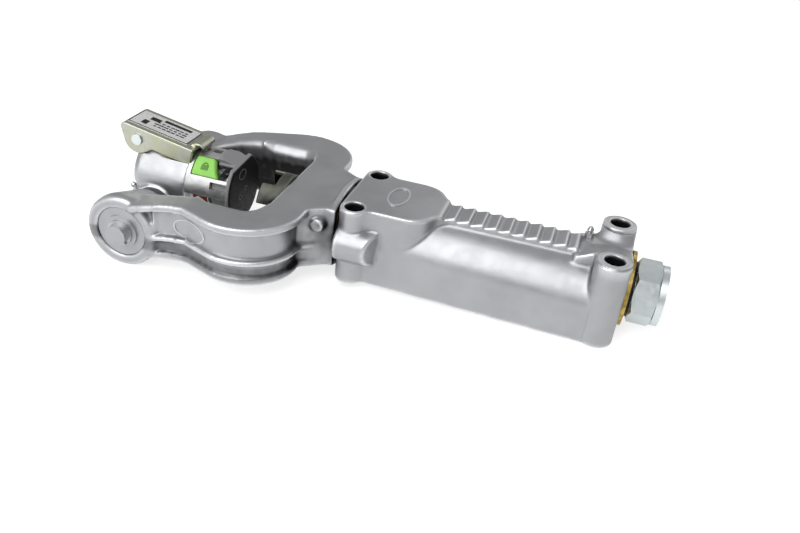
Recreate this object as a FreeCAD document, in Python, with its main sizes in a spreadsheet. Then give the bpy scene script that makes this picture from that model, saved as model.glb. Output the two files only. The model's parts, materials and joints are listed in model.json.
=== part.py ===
# Trailer coupling head: drawbar body, swivelling yoke, pitching latch head and release lever.
# Millimetres. Origin: centre of the tow-pin socket on the pitch axis. +X runs back along the
# swivel axis to the nut, +Y is the far side, +Z is up.
import FreeCAD, Part
import math
import os
import Sketcher

Vector = FreeCAD.Vector
FULL_TURN = 360.0
NOTHING = 1e-6
doc = FreeCAD.newDocument("coupling_head")

# Driving dimensions, one cell each
SIZES = [
    # Drawbar body: bolt pattern, bosses and hull
    ("front_holes_x", 181.0),
    ("hole_pitch_x", 220.0),
    ("hole_pitch_y", 70.0),
    ("bolt_hole_dia", 17.0),
    ("front_boss_radius", 12.6),
    ("rear_boss_radius", 15.0),
    ("rear_boss_rise", 6.3),
    ("body_half_height", 35.5),
    ("plate_flank_y", 38.0),
    ("plate_flank_end", 45.0),
    ("plate_waist_radius", 14.0),
    ("plate_shoulder_radius", 24.0),
    ("plate_sweep_radius", 18.0),
    ("strip_half_width", 15.0),
    ("strip_end", 190.0),
    ("hull_front_half_width", 40.0),
    ("hull_rear_half_width", 47.0),
    ("hull_shoulder_z", -8.0),
    ("hull_crown_z", 30.0),
    ("hull_front_x", 10.0),
    ("hull_rear_x", 209.0),
    ("tooth_pitch", 11.9),
    ("tooth_depth", 3.6),
    ("tooth_count", 10.0),
    ("tooth_first", 73.0),
    ("rear_deck_z", 31.0),
    ("rear_deck_front", 188.0),
    ("body_nipple_x", 377.5),
    ("body_nipple_y", 17.5),
    ("lug_radius", 15.0),
    ("lug_y", -41.0),
    ("lug_z", 1.0),
    ("lug_front_gap", 0.4),
    ("lug_length", 38.0),
    ("lug_slant", 9.0),
    ("swivel_bore_radius", 23.0),
    ("bush_outer_radius", 24.5),
    ("bush_length", 38.0),
    # Swivel shaft, nut and washers
    ("shaft_radius", 20.0),
    ("shaft_fit", 0.05),
    ("thread_radius", 16.5),
    ("thread_shoulder_back", 4.0),
    ("nut_across_flats", 50.0),
    ("nut_hex_length", 20.1),
    ("nut_seat_radius", 24.0),
    ("nut_seat_length", 3.4),
    ("nut_collar_radius", 26.0),
    ("nut_collar_length", 5.6),
    ("nut_turn", 13.0),
    ("nut_chamfer", 3.0),
    ("lock_ring_radius", 20.5),
    ("lock_ring_length", 4.2),
    ("rear_washer_radius", 32.5),
    ("rear_washer_thickness", 3.2),
    ("front_washer_radius", 33.0),
    ("front_washer_thickness", 2.4),
    ("swivel_gap", 0.3),
    ("thread_gap", 0.05),
    ("shaft_head_radius", 31.0),
    ("shaft_head_thickness", 11.0),
    ("dog_height", 13.0),
    ("dog_slot_width", 26.0),
    ("dog_turn", 38.0),
    ("head_well_radius", 17.0),
    # Yoke
    ("pitch_x", -14.7),
    ("pitch_z", -14.3),
    ("arm_outer_y", 108.0),
    ("arm_root_x", 50.0),
    ("arm_root_outer_y", 94.5),
    ("arm_root_inner_y", 65.0),
    ("arm_root_middle_z", 0.0),
    ("arm_root_half_height", 28.5),
    ("arm_inner_round", 9.0),
    ("arm_elbow_x", 38.0),
    ("arm_elbow_outer_y", 93.3),
    ("arm_elbow_inner_y", 65.0),
    ("arm_elbow_middle_z", -1.3),
    ("arm_elbow_half_height", 28.3),
    ("arm_middle_x", 26.0),
    ("arm_middle_outer_y", 92.7),
    ("arm_middle_inner_y", 64.0),
    ("arm_middle_middle_z", -3.4),
    ("arm_middle_half_height", 27.9),
    ("arm_wrist_x", 12.0),
    ("arm_wrist_outer_y", 92.2),
    ("arm_wrist_inner_y", 61.0),
    ("arm_wrist_middle_z", -7.2),
    ("arm_wrist_half_height", 27.4),
    ("arm_end_x", -4.0),
    ("arm_end_outer_y", 89.5),
    ("arm_end_inner_y", 56.0),
    ("arm_end_middle_z", -12.0),
    ("arm_end_half_height", 26.9),
    ("root_inner_x", 109.5),
    ("corner_x", 93.0),
    ("corner_radius", 51.0),
    ("inner_corner_radius", 17.0),
    ("web_inset", 8.5),
    ("ridge_inset", 3.5),
    ("foot_inset", 5.0),
    ("lip_height", 7.0),
    ("ridge_low_z", -9.5),
    ("ridge_high_z", -4.5),
    ("lip_turn_y", 42.0),
    ("lip_flange_y", 31.0),
    ("web_turn_y", 52.0),
    ("web_flange_y", 37.0),
    ("flange_half_width", 38.0),
    ("flange_side_z", 27.0),
    ("flange_half_height", 35.0),
    ("flange_thickness", 6.5),
    ("web_boss_radius", 6.2),
    ("web_boss_x", 152.0),
    ("web_boss_y", 48.0),
    ("web_boss_z", 14.7),
    ("web_boss_hole_radius", 3.4),
    ("web_boss_hole_depth", 1.2),
    ("rib_x", 17.0),
    ("rib_thickness", 2.6),
    ("arm_boss_radius", 33.5),
    ("arm_boss_inner_y", 40.0),
    ("arm_boss_shoulder_y", 77.0),
    ("arm_boss_inner_radius", 21.0),
    ("arm_boss_outer_y", 88.0),
    ("arm_recess_radius", 23.0),
    ("arm_recess_depth", 5.0),
    ("arm_boss_round", 4.0),
    ("arm_bush_radius", 16.0),
    # Trunnions and what closes the arm bosses
    ("trunnion_radius", 12.0),
    ("trunnion_fit", 0.05),
    ("trunnion_tip_radius", 9.5),
    ("trunnion_tip_y", 96.0),
    ("trunnion_root_y", 24.0),
    ("cover_thickness", 3.0),
    ("cover_hub_radius", 15.5),
    ("cover_hub_height", 2.0),
    ("circlip_width", 2.2),
    ("circlip_thickness", 1.6),
    ("circlip_gap_angle", 24.0),
    ("circlip_mouth_angle", -50.0),
    ("seat_gap", 0.2),
    # Latch head
    ("barrel_radius", 31.0),
    ("barrel_z", 9.0),
    ("barrel_front_x", -39.0),
    ("barrel_seam_x", 16.3),
    ("barrel_nose_round", 9.0),
    ("socket_skirt_radius", 27.0),
    ("socket_rim_radius", 28.0),
    ("socket_bottom_z", -45.3),
    ("socket_top_z", 24.0),
    ("socket_radius", 19.0),
    ("liner_wall", 3.5),
    ("socket_lead", 2.0),
    ("liner_relief_depth", 0.8),
    ("liner_relief_margin", 0.5),
    ("head_boss_radius", 21.0),
    ("head_boss_y", 33.0),
    ("ear_half_width", 16.8),
    ("spigot_groove_x", 20.8),
    ("spigot_end_x", 36.6),
    ("ear_radius", 8.0),
    # Lock plunger, collar, indicator and end cap
    ("plunger_radius", 9.0),
    ("plunger_fit", 0.08),
    ("plunger_nose_x", -3.7),
    ("plunger_travel", 9.0),
    ("plunger_nose_chamfer", 2.5),
    ("spring_seat_radius", 13.0),
    ("spring_seat_x", 37.0),
    ("spring_seat_thickness", 4.0),
    ("guide_rod_radius", 5.0),
    ("collar_wall", 3.6),
    ("collar_front_band", 4.2),
    ("window_low_angle", 31.0),
    ("window_high_angle", 68.0),
    ("rail_slot_low_angle", 13.0),
    ("rail_slot_high_angle", 25.0),
    ("rail_slot_start", 41.0),
    ("collar_skirt_angle", -3.0),
    ("cap_end_x", 61.5),
    ("cap_radius", 32.3),
    ("cap_end_thickness", 4.2),
    ("cap_wall", 2.6),
    ("cap_cup_depth", 16.0),
    ("cap_block_angle", 64.0),
    ("cap_block_slope", 4.0),
    ("cap_round", 2.2),
    ("tab_front_x", 21.2),
    ("tab_low_rear_x", 48.0),
    ("tab_high_rear_x", 38.0),
    ("tab_rise", 0.5),
    ("band_front_x", 22.8),
    ("band_rear_x", 36.0),
    ("band_wall", 1.8),
    ("band_top_angle", 72.0),
    ("tab_leg_low_angle", 36.0),
    ("tab_leg_high_angle", 60.0),
    ("tab_leg_front_x", 37.4),
    ("peg_radius", 3.0),
    ("peg_x", 27.0),
    ("peg_top_z", 38.0),
    ("slide_gap", 0.3),
    ("spring_wire", 2.0),
    ("spring_radius", 8.5),
    ("spring_turns", 3.0),
    ("spring_steps_per_turn", 14.0),
    # Release lever
    ("lever_pivot_x", -36.3),
    ("lever_pivot_z", 43.7),
    ("lever_pin_radius", 4.0),
    ("lever_pin_head_radius", 5.0),
    ("lever_pin_head_thickness", 1.6),
    ("lever_half_width", 20.0),
    ("lever_sheet", 2.4),
    ("lever_tilt", 10.7),
    ("lever_top_rise", 11.3),
    ("lever_front_reach", 18.5),
    ("lever_wall_rear_reach", 55.0),
    ("lever_tongue_half_width", 12.0),
    ("lever_lobe_radius", 14.0),
    ("lever_wall_low", 4.8),
    ("lever_wall_low_start", 15.3),
    ("lever_lobe_start", 195.0),
    ("lever_lobe_end", 300.0),
    ("hump_centre_reach", 56.0),
    ("hump_centre_rise", 6.5),
    ("hump_radius", 9.0),
    ("hump_end_angle", 20.0),
    ("lever_gap", 0.6),
    ("lever_slot_drop", 1.8),
    ("label_front", -15.0),
    ("label_rear", 46.0),
    ("label_half_width", 14.3),
    ("label_thickness", 0.5),
    # Grease nipples
    ("head_nipple_angle", 150.0),
    ("head_nipple_y", 28.5),
    ("head_nipple_lean", 45.0),
    ("nipple_hex", 7.0),
    ("nipple_hex_height", 4.0),
    ("nipple_neck_radius", 1.9),
    ("nipple_ball_radius", 3.0),
    ("nipple_ball_height", 4.8),
    ("nipple_height", 9.5),
    ("nipple_stem_radius", 2.5),
    ("nipple_stem_length", 6.0),
]

sheet = doc.addObject("Spreadsheet::Sheet", "sizes")
for row, (alias, value) in enumerate(SIZES, start=1):
    sheet.set("A%d" % row, alias)
    sheet.set("B%d" % row, repr(value))
    sheet.setAlias("B%d" % row, alias)
doc.recompute()


def size(alias):
    return float(sheet.get(alias))


def ref(alias):
    return "sizes." + alias


# Helpers for parametric bodies
def new_body(label):
    body = doc.addObject("PartDesign::Body", label)
    body.Label = label
    return body


def origin_plane(body, role):
    for feature in body.Origin.OriginFeatures:
        if feature.Role == role:
            return feature
    raise ValueError(role)


def new_sketch(body, name, role, shift=None):
    """Sketch on one of the body's own origin planes, moved by expressions along its axes."""
    sketch = body.newObject("Sketcher::SketchObject", name)
    sketch.AttachmentSupport = (origin_plane(body, role), [""])
    sketch.MapMode = "FlatFace"
    for axis, expression in (shift or {}).items():
        sketch.setExpression(".AttachmentOffset.Base." + axis, expression)
    return sketch


def round_sketch(body, name, role, radius, shift=None):
    """A circle about the sketch's origin with its radius bound to the sheet."""
    sketch = new_sketch(body, name, role, shift)
    index = sketch.addGeometry(Part.Circle(Vector(0, 0, 0), Vector(0, 0, 1), 1.0))
    sketch.addConstraint(Sketcher.Constraint("Coincident", index, 3, -1, 1))
    rule = sketch.addConstraint(Sketcher.Constraint("Radius", index, 1.0))
    sketch.setExpression("Constraints[%d]" % rule, radius)
    return sketch


def outline_sketch(body, name, role, edges, shift=None):
    """A closed outline of lines and arcs, joined end to end."""
    sketch = new_sketch(body, name, role, shift)
    sketch.addGeometry(edges, False)
    return sketch


def polygon(points):
    """Line segments round a list of (u, v) corners."""
    corners = [Vector(u, v, 0) for u, v in points]
    return [Part.LineSegment(a, b) for a, b in zip(corners, corners[1:] + corners[:1])]


def add_pad(body, name, sketch, length, both_ways=False, backwards=False):
    feature = body.newObject("PartDesign::Pad", name)
    feature.Profile = sketch
    feature.Midplane = both_ways
    feature.Reversed = backwards
    feature.setExpression("Length", length)
    return feature


def add_pocket(body, name, sketch, length, both_ways=False, backwards=False):
    before = doc_volume(body)
    feature = body.newObject("PartDesign::Pocket", name)
    feature.Profile = sketch
    feature.Midplane = both_ways
    feature.Reversed = backwards
    feature.setExpression("Length", length)
    doc.recompute()
    if doc_volume(body) >= before - NOTHING:
        raise ValueError("pocket %s cut nothing" % name)
    return feature


def doc_volume(body):
    doc.recompute()
    return body.Shape.Volume


def add_turned(body, name, sketch, axis="H_Axis", cut=False):
    """A full turn of a profile about the sketch's horizontal or vertical axis."""
    before = doc_volume(body) if cut else 0.0
    feature = body.newObject("PartDesign::Groove" if cut else "PartDesign::Revolution", name)
    feature.Profile = sketch
    feature.ReferenceAxis = (sketch, [axis])
    feature.Angle = FULL_TURN
    if cut and doc_volume(body) >= before - NOTHING:
        raise ValueError("groove %s cut nothing" % name)
    return feature


def turned_piece(label, profile, role="XZ_Plane", shift=None):
    """A round piece turned from a half profile of (along, radius) corners."""
    body = new_body(label)
    sketch = outline_sketch(body, label + "_profile", role, polygon(profile), shift)
    add_turned(body, label + "_turned", sketch)
    return body


def add_pattern(body, name, feature, length, count, axis="X_Axis"):
    """Repeat a feature along one of the body's own origin axes."""
    pattern = body.newObject("PartDesign::LinearPattern", name)
    pattern.Originals = [feature]
    pattern.Direction = (origin_plane(body, axis), [""])
    pattern.setExpression("Length", length)
    pattern.setExpression("Occurrences", count)
    body.Tip = pattern
    return pattern


def arc(centre, radius, start, end, side=1):
    """Arc drawn anticlockwise from the start to the end angle, in degrees; side -1 mirrors it."""
    if side < 0:
        start, end = -end, -start
    circle = Part.Circle(Vector(centre[0], side * centre[1], 0), Vector(0, 0, 1), radius)
    return Part.ArcOfCircle(circle, math.radians(start), math.radians(end))


def at(centre, radius, angle):
    turn = math.radians(angle)
    return Vector(centre[0] + radius * math.cos(turn), centre[1] + radius * math.sin(turn), 0)


def line(a, b, side=1):
    return Part.LineSegment(Vector(a[0], side * a[1], 0), Vector(b[0], side * b[1], 0))


def tangent_arc_centre(centre, radius, fillet, level):
    """Centre of an arc that rests on a line v = level and on a circle left of it, from outside."""
    rise = level + fillet - centre[1]
    return (centre[0] + math.sqrt((radius + fillet) ** 2 - rise ** 2), level + fillet)


def heading(a, b):
    return math.degrees(math.atan2(b[1] - a[1], b[0] - a[0]))


def sector(start, end, inner, outer):
    """Part of a ring about the sketch's origin, in degrees up from the near side."""
    low, high = 180.0 - end, 180.0 - start
    return [
        arc((0, 0), outer, low, high),
        line(at((0, 0), outer, high), at((0, 0), inner, high)),
        arc((0, 0), inner, low, high),
        line(at((0, 0), inner, low), at((0, 0), outer, low)),
    ]


def box_profile(start, end, inner, outer):
    return [(start, inner), (end, inner), (end, outer), (start, outer)]


# Places that several pieces share
HOLE_Y = size("hole_pitch_y") / 2
FRONT_X = size("front_holes_x")
REAR_X = FRONT_X + size("hole_pitch_x")
BARREL_AXIS = {"y": ref("barrel_z")}
PITCH_CENTRE = {"x": ref("pitch_x"), "y": ref("pitch_z")}
PITCH_AXIS = {"x": ref("pitch_x"), "z": ref("pitch_z")}
BODY_FRONT_X = FRONT_X - size("front_boss_radius")
BODY_REAR_X = REAR_X + size("rear_boss_radius")
FLOOR_Z = -size("body_half_height")
NUT_WASHER_X = BODY_REAR_X + size("swivel_gap")
NUT_SEAT_X = NUT_WASHER_X + size("rear_washer_thickness")
NUT_HEX_X = NUT_SEAT_X + size("nut_seat_length")
NUT_COLLAR_X = NUT_HEX_X + size("nut_hex_length")
NUT_END_X = NUT_COLLAR_X + size("nut_collar_length")
FLANGE_REAR_X = BODY_FRONT_X - size("front_washer_thickness") - size("swivel_gap")
FLANGE_FRONT_X = FLANGE_REAR_X - size("flange_thickness")
COLLAR_INNER = size("barrel_radius") - size("collar_wall")
AT_FLANGE_FRONT = " - ".join(ref(name) for name in (
    "front_holes_x", "front_boss_radius", "front_washer_thickness", "swivel_gap", "flange_thickness"))
AT_NUT_SEAT = " + ".join(ref(name) for name in (
    "front_holes_x", "hole_pitch_x", "rear_boss_radius", "swivel_gap", "rear_washer_thickness"))
AT_NUT_HEX = AT_NUT_SEAT + " + " + ref("nut_seat_length")
AT_NUT_COLLAR = AT_NUT_HEX + " + " + ref("nut_hex_length")
CAP_PLATE_X = size("cap_end_x") - size("cap_end_thickness")
EXTRA = []


# Drawbar body
def plate_half(side):
    """Half of the plan outline: boss, waist, flank, shoulder and the narrow strip."""
    boss = (FRONT_X, HOLE_Y)
    boss_r = size("front_boss_radius")
    waist_r = size("plate_waist_radius")
    flank = size("plate_flank_y")
    shoulder_r = size("plate_shoulder_radius")
    sweep_r = size("plate_sweep_radius")
    strip = size("strip_half_width")
    waist = tangent_arc_centre(boss, boss_r, waist_r, flank)
    shoulder = (FRONT_X + size("plate_flank_end"), flank - shoulder_r)
    sweep = tangent_arc_centre(shoulder, shoulder_r, sweep_r, strip)
    to_waist = heading(boss, waist)
    to_sweep = heading(shoulder, sweep)
    strip_end = FRONT_X + size("strip_end")
    return [
        line((BODY_FRONT_X, 0), (BODY_FRONT_X, HOLE_Y), side),
        arc(boss, boss_r, to_waist, 180, side),
        arc(waist, waist_r, to_waist + 180, 270, side),
        line((waist[0], flank), (shoulder[0], flank), side),
        arc(shoulder, shoulder_r, to_sweep, 90, side),
        arc(sweep, sweep_r, to_sweep + 180, 270, side),
        line((sweep[0], strip), (strip_end, strip), side),
        line((strip_end, strip), (strip_end, 0), side),
    ]


def hull_section(half_width):
    """Flat base, upright sides and an elliptical crown."""
    shoulder = size("hull_shoulder_z")
    crown = size("hull_crown_z")
    centre = Vector(0, shoulder, 0)
    ellipse = Part.Ellipse(Vector(half_width, shoulder, 0), Vector(0, crown, 0), centre)
    return [
        Part.ArcOfEllipse(ellipse, 0, math.pi),
        line((-half_width, shoulder), (-half_width, FLOOR_Z)),
        line((-half_width, FLOOR_Z), (half_width, FLOOR_Z)),
        line((half_width, FLOOR_Z), (half_width, shoulder)),
    ]


def make_body_casting():
    body = new_body("body_casting")
    full_height = "2 * " + ref("body_half_height")
    floor = {"z": "-" + ref("body_half_height")}
    plate = outline_sketch(body, "plate_plan", "XY_Plane", plate_half(1) + plate_half(-1), floor)
    add_pad(body, "plate", plate, full_height)

    front = outline_sketch(body, "hull_front", "YZ_Plane", hull_section(size("hull_front_half_width")),
                           {"z": ref("front_holes_x") + " + " + ref("hull_front_x")})
    rear = outline_sketch(body, "hull_rear", "YZ_Plane", hull_section(size("hull_rear_half_width")),
                          {"z": ref("front_holes_x") + " + " + ref("hull_rear_x")})
    hull = body.newObject("PartDesign::AdditiveLoft", "hull")
    hull.Profile = front
    hull.Sections = [rear]
    hull.Ruled = True

    deck_front = FRONT_X + size("rear_deck_front")
    block_front = REAR_X - size("rear_boss_radius")
    deck_half = size("strip_half_width") + size("plate_sweep_radius") / 2
    deck = outline_sketch(body, "deck_plan", "XY_Plane", polygon([
        (deck_front, -deck_half), (block_front, -deck_half), (block_front, -HOLE_Y),
        (BODY_REAR_X, -HOLE_Y), (BODY_REAR_X, HOLE_Y), (block_front, HOLE_Y),
        (block_front, deck_half), (deck_front, deck_half)]), floor)
    add_pad(body, "deck", deck, ref("body_half_height") + " + " + ref("rear_deck_z"))
    for side, name in ((-1, "near"), (1, "far")):
        place = {"x": ref("front_holes_x") + " + " + ref("hole_pitch_x"),
                 "y": "%d * " % side + ref("hole_pitch_y") + " / 2", "z": floor["z"]}
        boss = round_sketch(body, name + "_rear_boss_plan", "XY_Plane", ref("rear_boss_radius"), place)
        add_pad(body, name + "_rear_boss", boss, full_height + " + " + ref("rear_boss_rise"))

    lug = round_sketch(body, "lug_section", "YZ_Plane", ref("lug_radius"),
                       {"x": ref("lug_y"), "y": ref("lug_z"),
                        "z": ref("front_holes_x") + " - " + ref("front_boss_radius")
                             + " + " + ref("lug_front_gap")})
    add_pad(body, "lug", lug, ref("lug_length"))
    lug_end = BODY_FRONT_X + size("lug_front_gap") + size("lug_length")
    lug_outer = size("lug_y") - size("lug_radius")
    corner = outline_sketch(body, "lug_slant_plan", "XY_Plane", polygon([
        (lug_end, -size("plate_flank_y")), (lug_end - size("lug_slant"), lug_outer),
        (lug_end, lug_outer)]))
    add_pocket(body, "lug_slant_cut", corner, full_height, both_ways=True)

    first = FRONT_X + size("tooth_first")
    pitch = size("tooth_pitch")
    top = size("body_half_height")
    notch = outline_sketch(body, "tooth_notch_side", "XZ_Plane", polygon([
        (first, top - size("tooth_depth")), (first + pitch, top), (first + pitch, top + pitch),
        (first, top + pitch)]))
    tooth = add_pocket(body, "tooth_notch", notch, "4 * " + ref("plate_flank_y"), both_ways=True)
    add_pattern(body, "teeth", tooth, ref("tooth_pitch") + " * (" + ref("tooth_count") + " - 1)",
                ref("tooth_count"))

    bore = round_sketch(body, "swivel_bore_section", "YZ_Plane", ref("swivel_bore_radius"))
    add_pocket(body, "swivel_bore", bore, "2 * (" + ref("front_holes_x") + " + "
               + ref("hole_pitch_x") + ")", backwards=True)
    front_face = ref("front_holes_x") + " - " + ref("front_boss_radius")
    rear_seat = (ref("front_holes_x") + " + " + ref("hole_pitch_x") + " + " + ref("rear_boss_radius")
                 + " - " + ref("bush_length"))
    for name, start in (("front", front_face), ("rear", rear_seat)):
        seat = round_sketch(body, name + "_bush_seat_section", "YZ_Plane", ref("bush_outer_radius"),
                            {"z": start})
        add_pocket(body, name + "_bush_seat", seat, ref("bush_length"), backwards=True)

    holes = new_sketch(body, "bolt_hole_plan", "XY_Plane",
                       {"x": ref("front_holes_x"), "z": full_height})
    for side in (-1, 1):
        index = holes.addGeometry(Part.Circle(Vector(0, side, 0), Vector(0, 0, 1), 1.0))
        holes.addConstraint(Sketcher.Constraint("PointOnObject", index, 3, -2))
        rule = holes.addConstraint(Sketcher.Constraint("Diameter", index, 1.0))
        holes.setExpression("Constraints[%d]" % rule, ref("bolt_hole_dia"))
        rule = holes.addConstraint(Sketcher.Constraint("DistanceY", -1, 1, index, 3, side * 1.0))
        holes.setExpression("Constraints[%d]" % rule, "%d * " % side + ref("hole_pitch_y") + " / 2")
    drilled = add_pocket(body, "bolt_holes", holes, "2 * " + full_height)
    add_pattern(body, "bolt_hole_pattern", drilled, ref("hole_pitch_x"), "2")

    oiler = round_sketch(body, "body_nipple_hole", "XY_Plane", ref("nipple_stem_radius"),
                         {"x": ref("body_nipple_x"), "y": ref("body_nipple_y"), "z": ref("rear_deck_z")})
    add_pocket(body, "nipple_hole_drilled", oiler, ref("nipple_stem_length") + " + " + ref("slide_gap"))
    return body


# Swivel: bushes, washers, shaft and nut
def make_swivel():
    shaft_clear = size("shaft_radius") + size("shaft_fit")
    bush = size("bush_outer_radius")
    length = size("bush_length")
    turned_piece("front_swivel_bush", box_profile(BODY_FRONT_X, BODY_FRONT_X + length, shaft_clear, bush))
    turned_piece("rear_swivel_bush", box_profile(BODY_REAR_X - length, BODY_REAR_X, shaft_clear, bush))
    turned_piece("front_thrust_washer",
                 box_profile(BODY_FRONT_X - size("front_washer_thickness"), BODY_FRONT_X,
                             shaft_clear, size("front_washer_radius")))
    thread_clear = size("thread_radius") + size("thread_gap")
    turned_piece("rear_thrust_washer", box_profile(NUT_WASHER_X, NUT_SEAT_X, thread_clear,
                                                   size("rear_washer_radius")))

    shaft = new_body("swivel_shaft")
    root = size("root_inner_x")
    disc = root - size("shaft_head_thickness")
    dogs = disc - size("dog_height")
    shoulder = BODY_REAR_X - size("thread_shoulder_back")
    profile = outline_sketch(shaft, "shaft_profile", "XZ_Plane", polygon([
        (disc, 0), (disc, size("head_well_radius")), (dogs, size("head_well_radius")),
        (dogs, size("shaft_head_radius")), (root, size("shaft_head_radius")),
        (root, size("shaft_radius")), (shoulder, size("shaft_radius")),
        (shoulder, size("thread_radius")), (NUT_END_X, size("thread_radius")), (NUT_END_X, 0)]))
    add_turned(shaft, "shaft_turned", profile)
    half = size("dog_slot_width") / 2
    reach = 2 * size("shaft_head_radius")
    cross = []
    for quarter in range(4):
        turn = math.radians(size("dog_turn") + 90 * quarter)
        for u, v in ((half, half), (half, reach), (-half, reach)):
            cross.append((u * math.cos(turn) - v * math.sin(turn), u * math.sin(turn) + v * math.cos(turn)))
    slots = outline_sketch(shaft, "dog_slots", "YZ_Plane", polygon(cross),
                           {"z": ref("root_inner_x") + " - " + ref("shaft_head_thickness") + " - "
                                 + ref("dog_height")})
    add_pocket(shaft, "castellation", slots, ref("dog_height"), backwards=True)

    nut = new_body("swivel_nut")
    seat = round_sketch(nut, "nut_seat_section", "YZ_Plane", ref("nut_seat_radius"), {"z": AT_NUT_SEAT})
    add_pad(nut, "nut_seat", seat, ref("nut_seat_length"))
    corner = size("nut_across_flats") / math.sqrt(3)
    hexagon = [at((0, 0), corner, size("nut_turn") + 60 * side) for side in range(6)]
    flats = outline_sketch(nut, "nut_hexagon", "YZ_Plane", polygon([(p.x, p.y) for p in hexagon]),
                           {"z": AT_NUT_HEX})
    add_pad(nut, "nut_flats", flats, ref("nut_hex_length"))
    cut = size("nut_chamfer")
    flat = size("nut_across_flats") / 2
    for name, face, inward in (("front", NUT_HEX_X, 1), ("rear", NUT_COLLAR_X, -1)):
        bevel = outline_sketch(nut, name + "_bevel_profile", "XZ_Plane", polygon([
            (face, flat), (face, flat + 2 * cut), (face + inward * cut, flat + 2 * cut)]))
        add_turned(nut, name + "_bevel", bevel, cut=True)
    collar = round_sketch(nut, "nut_collar_section", "YZ_Plane", ref("nut_collar_radius"),
                          {"z": AT_NUT_COLLAR})
    add_pad(nut, "nut_collar", collar, ref("nut_collar_length"))
    bore = outline_sketch(nut, "nut_bore_profile", "XZ_Plane", polygon([
        (NUT_SEAT_X, 0), (NUT_END_X, 0), (NUT_END_X, size("lock_ring_radius")),
        (NUT_END_X - size("lock_ring_length"), size("lock_ring_radius")),
        (NUT_END_X - size("lock_ring_length"), thread_clear), (NUT_SEAT_X, thread_clear)]))
    add_turned(nut, "nut_bore", bore, cut=True)
    turned_piece("nut_locking_ring", box_profile(NUT_END_X - size("lock_ring_length"), NUT_END_X,
                                                 thread_clear, size("lock_ring_radius")))


# Yoke
def yoke_half(side, inset, turn_y, flange_y):
    """Half of the hub's plan outline, with the outside drawn in by an inset."""
    root = (size("arm_root_x"), size("arm_root_outer_y") - inset)
    corner = (size("corner_x"), size("arm_outer_y") - size("corner_radius"))
    corner_r = size("corner_radius") - inset
    reach = math.hypot(root[0] - corner[0], root[1] - corner[1])
    meet = heading(corner, root) - math.degrees(math.acos(corner_r / reach))
    rear = corner[0] + corner_r
    inner_r = size("inner_corner_radius")
    inner_x = size("root_inner_x")
    inner_y = size("arm_root_inner_y")
    return [
        line((inner_x, 0), (inner_x, inner_y - inner_r), side),
        arc((inner_x - inner_r, inner_y - inner_r), inner_r, 0, 90, side),
        line((inner_x - inner_r, inner_y), (root[0], inner_y), side),
        line((root[0], inner_y), root, side),
        line(root, at(corner, corner_r, meet), side),
        arc(corner, corner_r, 0, meet, side),
        line((rear, corner[1]), (rear, turn_y), side),
        line((rear, turn_y), (FLANGE_FRONT_X, flange_y), side),
        line((FLANGE_FRONT_X, flange_y), (FLANGE_FRONT_X, 0), side),
    ]


# Stations down an arm, from the hub to the boss
ARM_STATIONS = ("root", "elbow", "middle", "wrist", "end")


def arm_section(body, name, side, station):
    """Cross-section of an arm: rounded inside, top lip, recessed web, ridge and foot."""
    outer = size("arm_%s_outer_y" % station)
    inner = size("arm_%s_inner_y" % station)
    middle = size("arm_%s_middle_z" % station)
    half = size("arm_%s_half_height" % station)
    lip = size("lip_height")
    curve = size("arm_inner_round")
    web = outer - size("web_inset")
    ridge = outer - size("ridge_inset")
    foot = outer - size("foot_inset")
    high = size("ridge_high_z")
    low = size("ridge_low_z")
    corners = [(inner + curve, half), (outer, half), (outer, half - lip), (web, half - lip), (web, high),
               (ridge, high), (ridge, low), (web, low), (web, lip - half), (foot, lip - half),
               (foot, -half), (inner + curve, -half)]
    walls = [(side * y, middle + z) for y, z in corners]
    edges = [line(start, end) for start, end in zip(walls, walls[1:])]
    for centre_z, start, bend in ((curve - half, 180, 270), (half - curve, 90, 180)):
        middle_of_arc = math.radians((start + bend) / 2)
        points = []
        for angle in (math.radians(start), middle_of_arc, math.radians(bend)):
            y = inner + curve + curve * math.cos(angle)
            points.append(Vector(side * y, middle + centre_z + curve * math.sin(angle), 0))
        edges.append(Part.Arc(*points))
    edges.append(line((side * inner, middle + curve - half), (side * inner, middle + half - curve)))
    return outline_sketch(body, name, "YZ_Plane", edges, {"z": ref("arm_%s_x" % station)})


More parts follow.
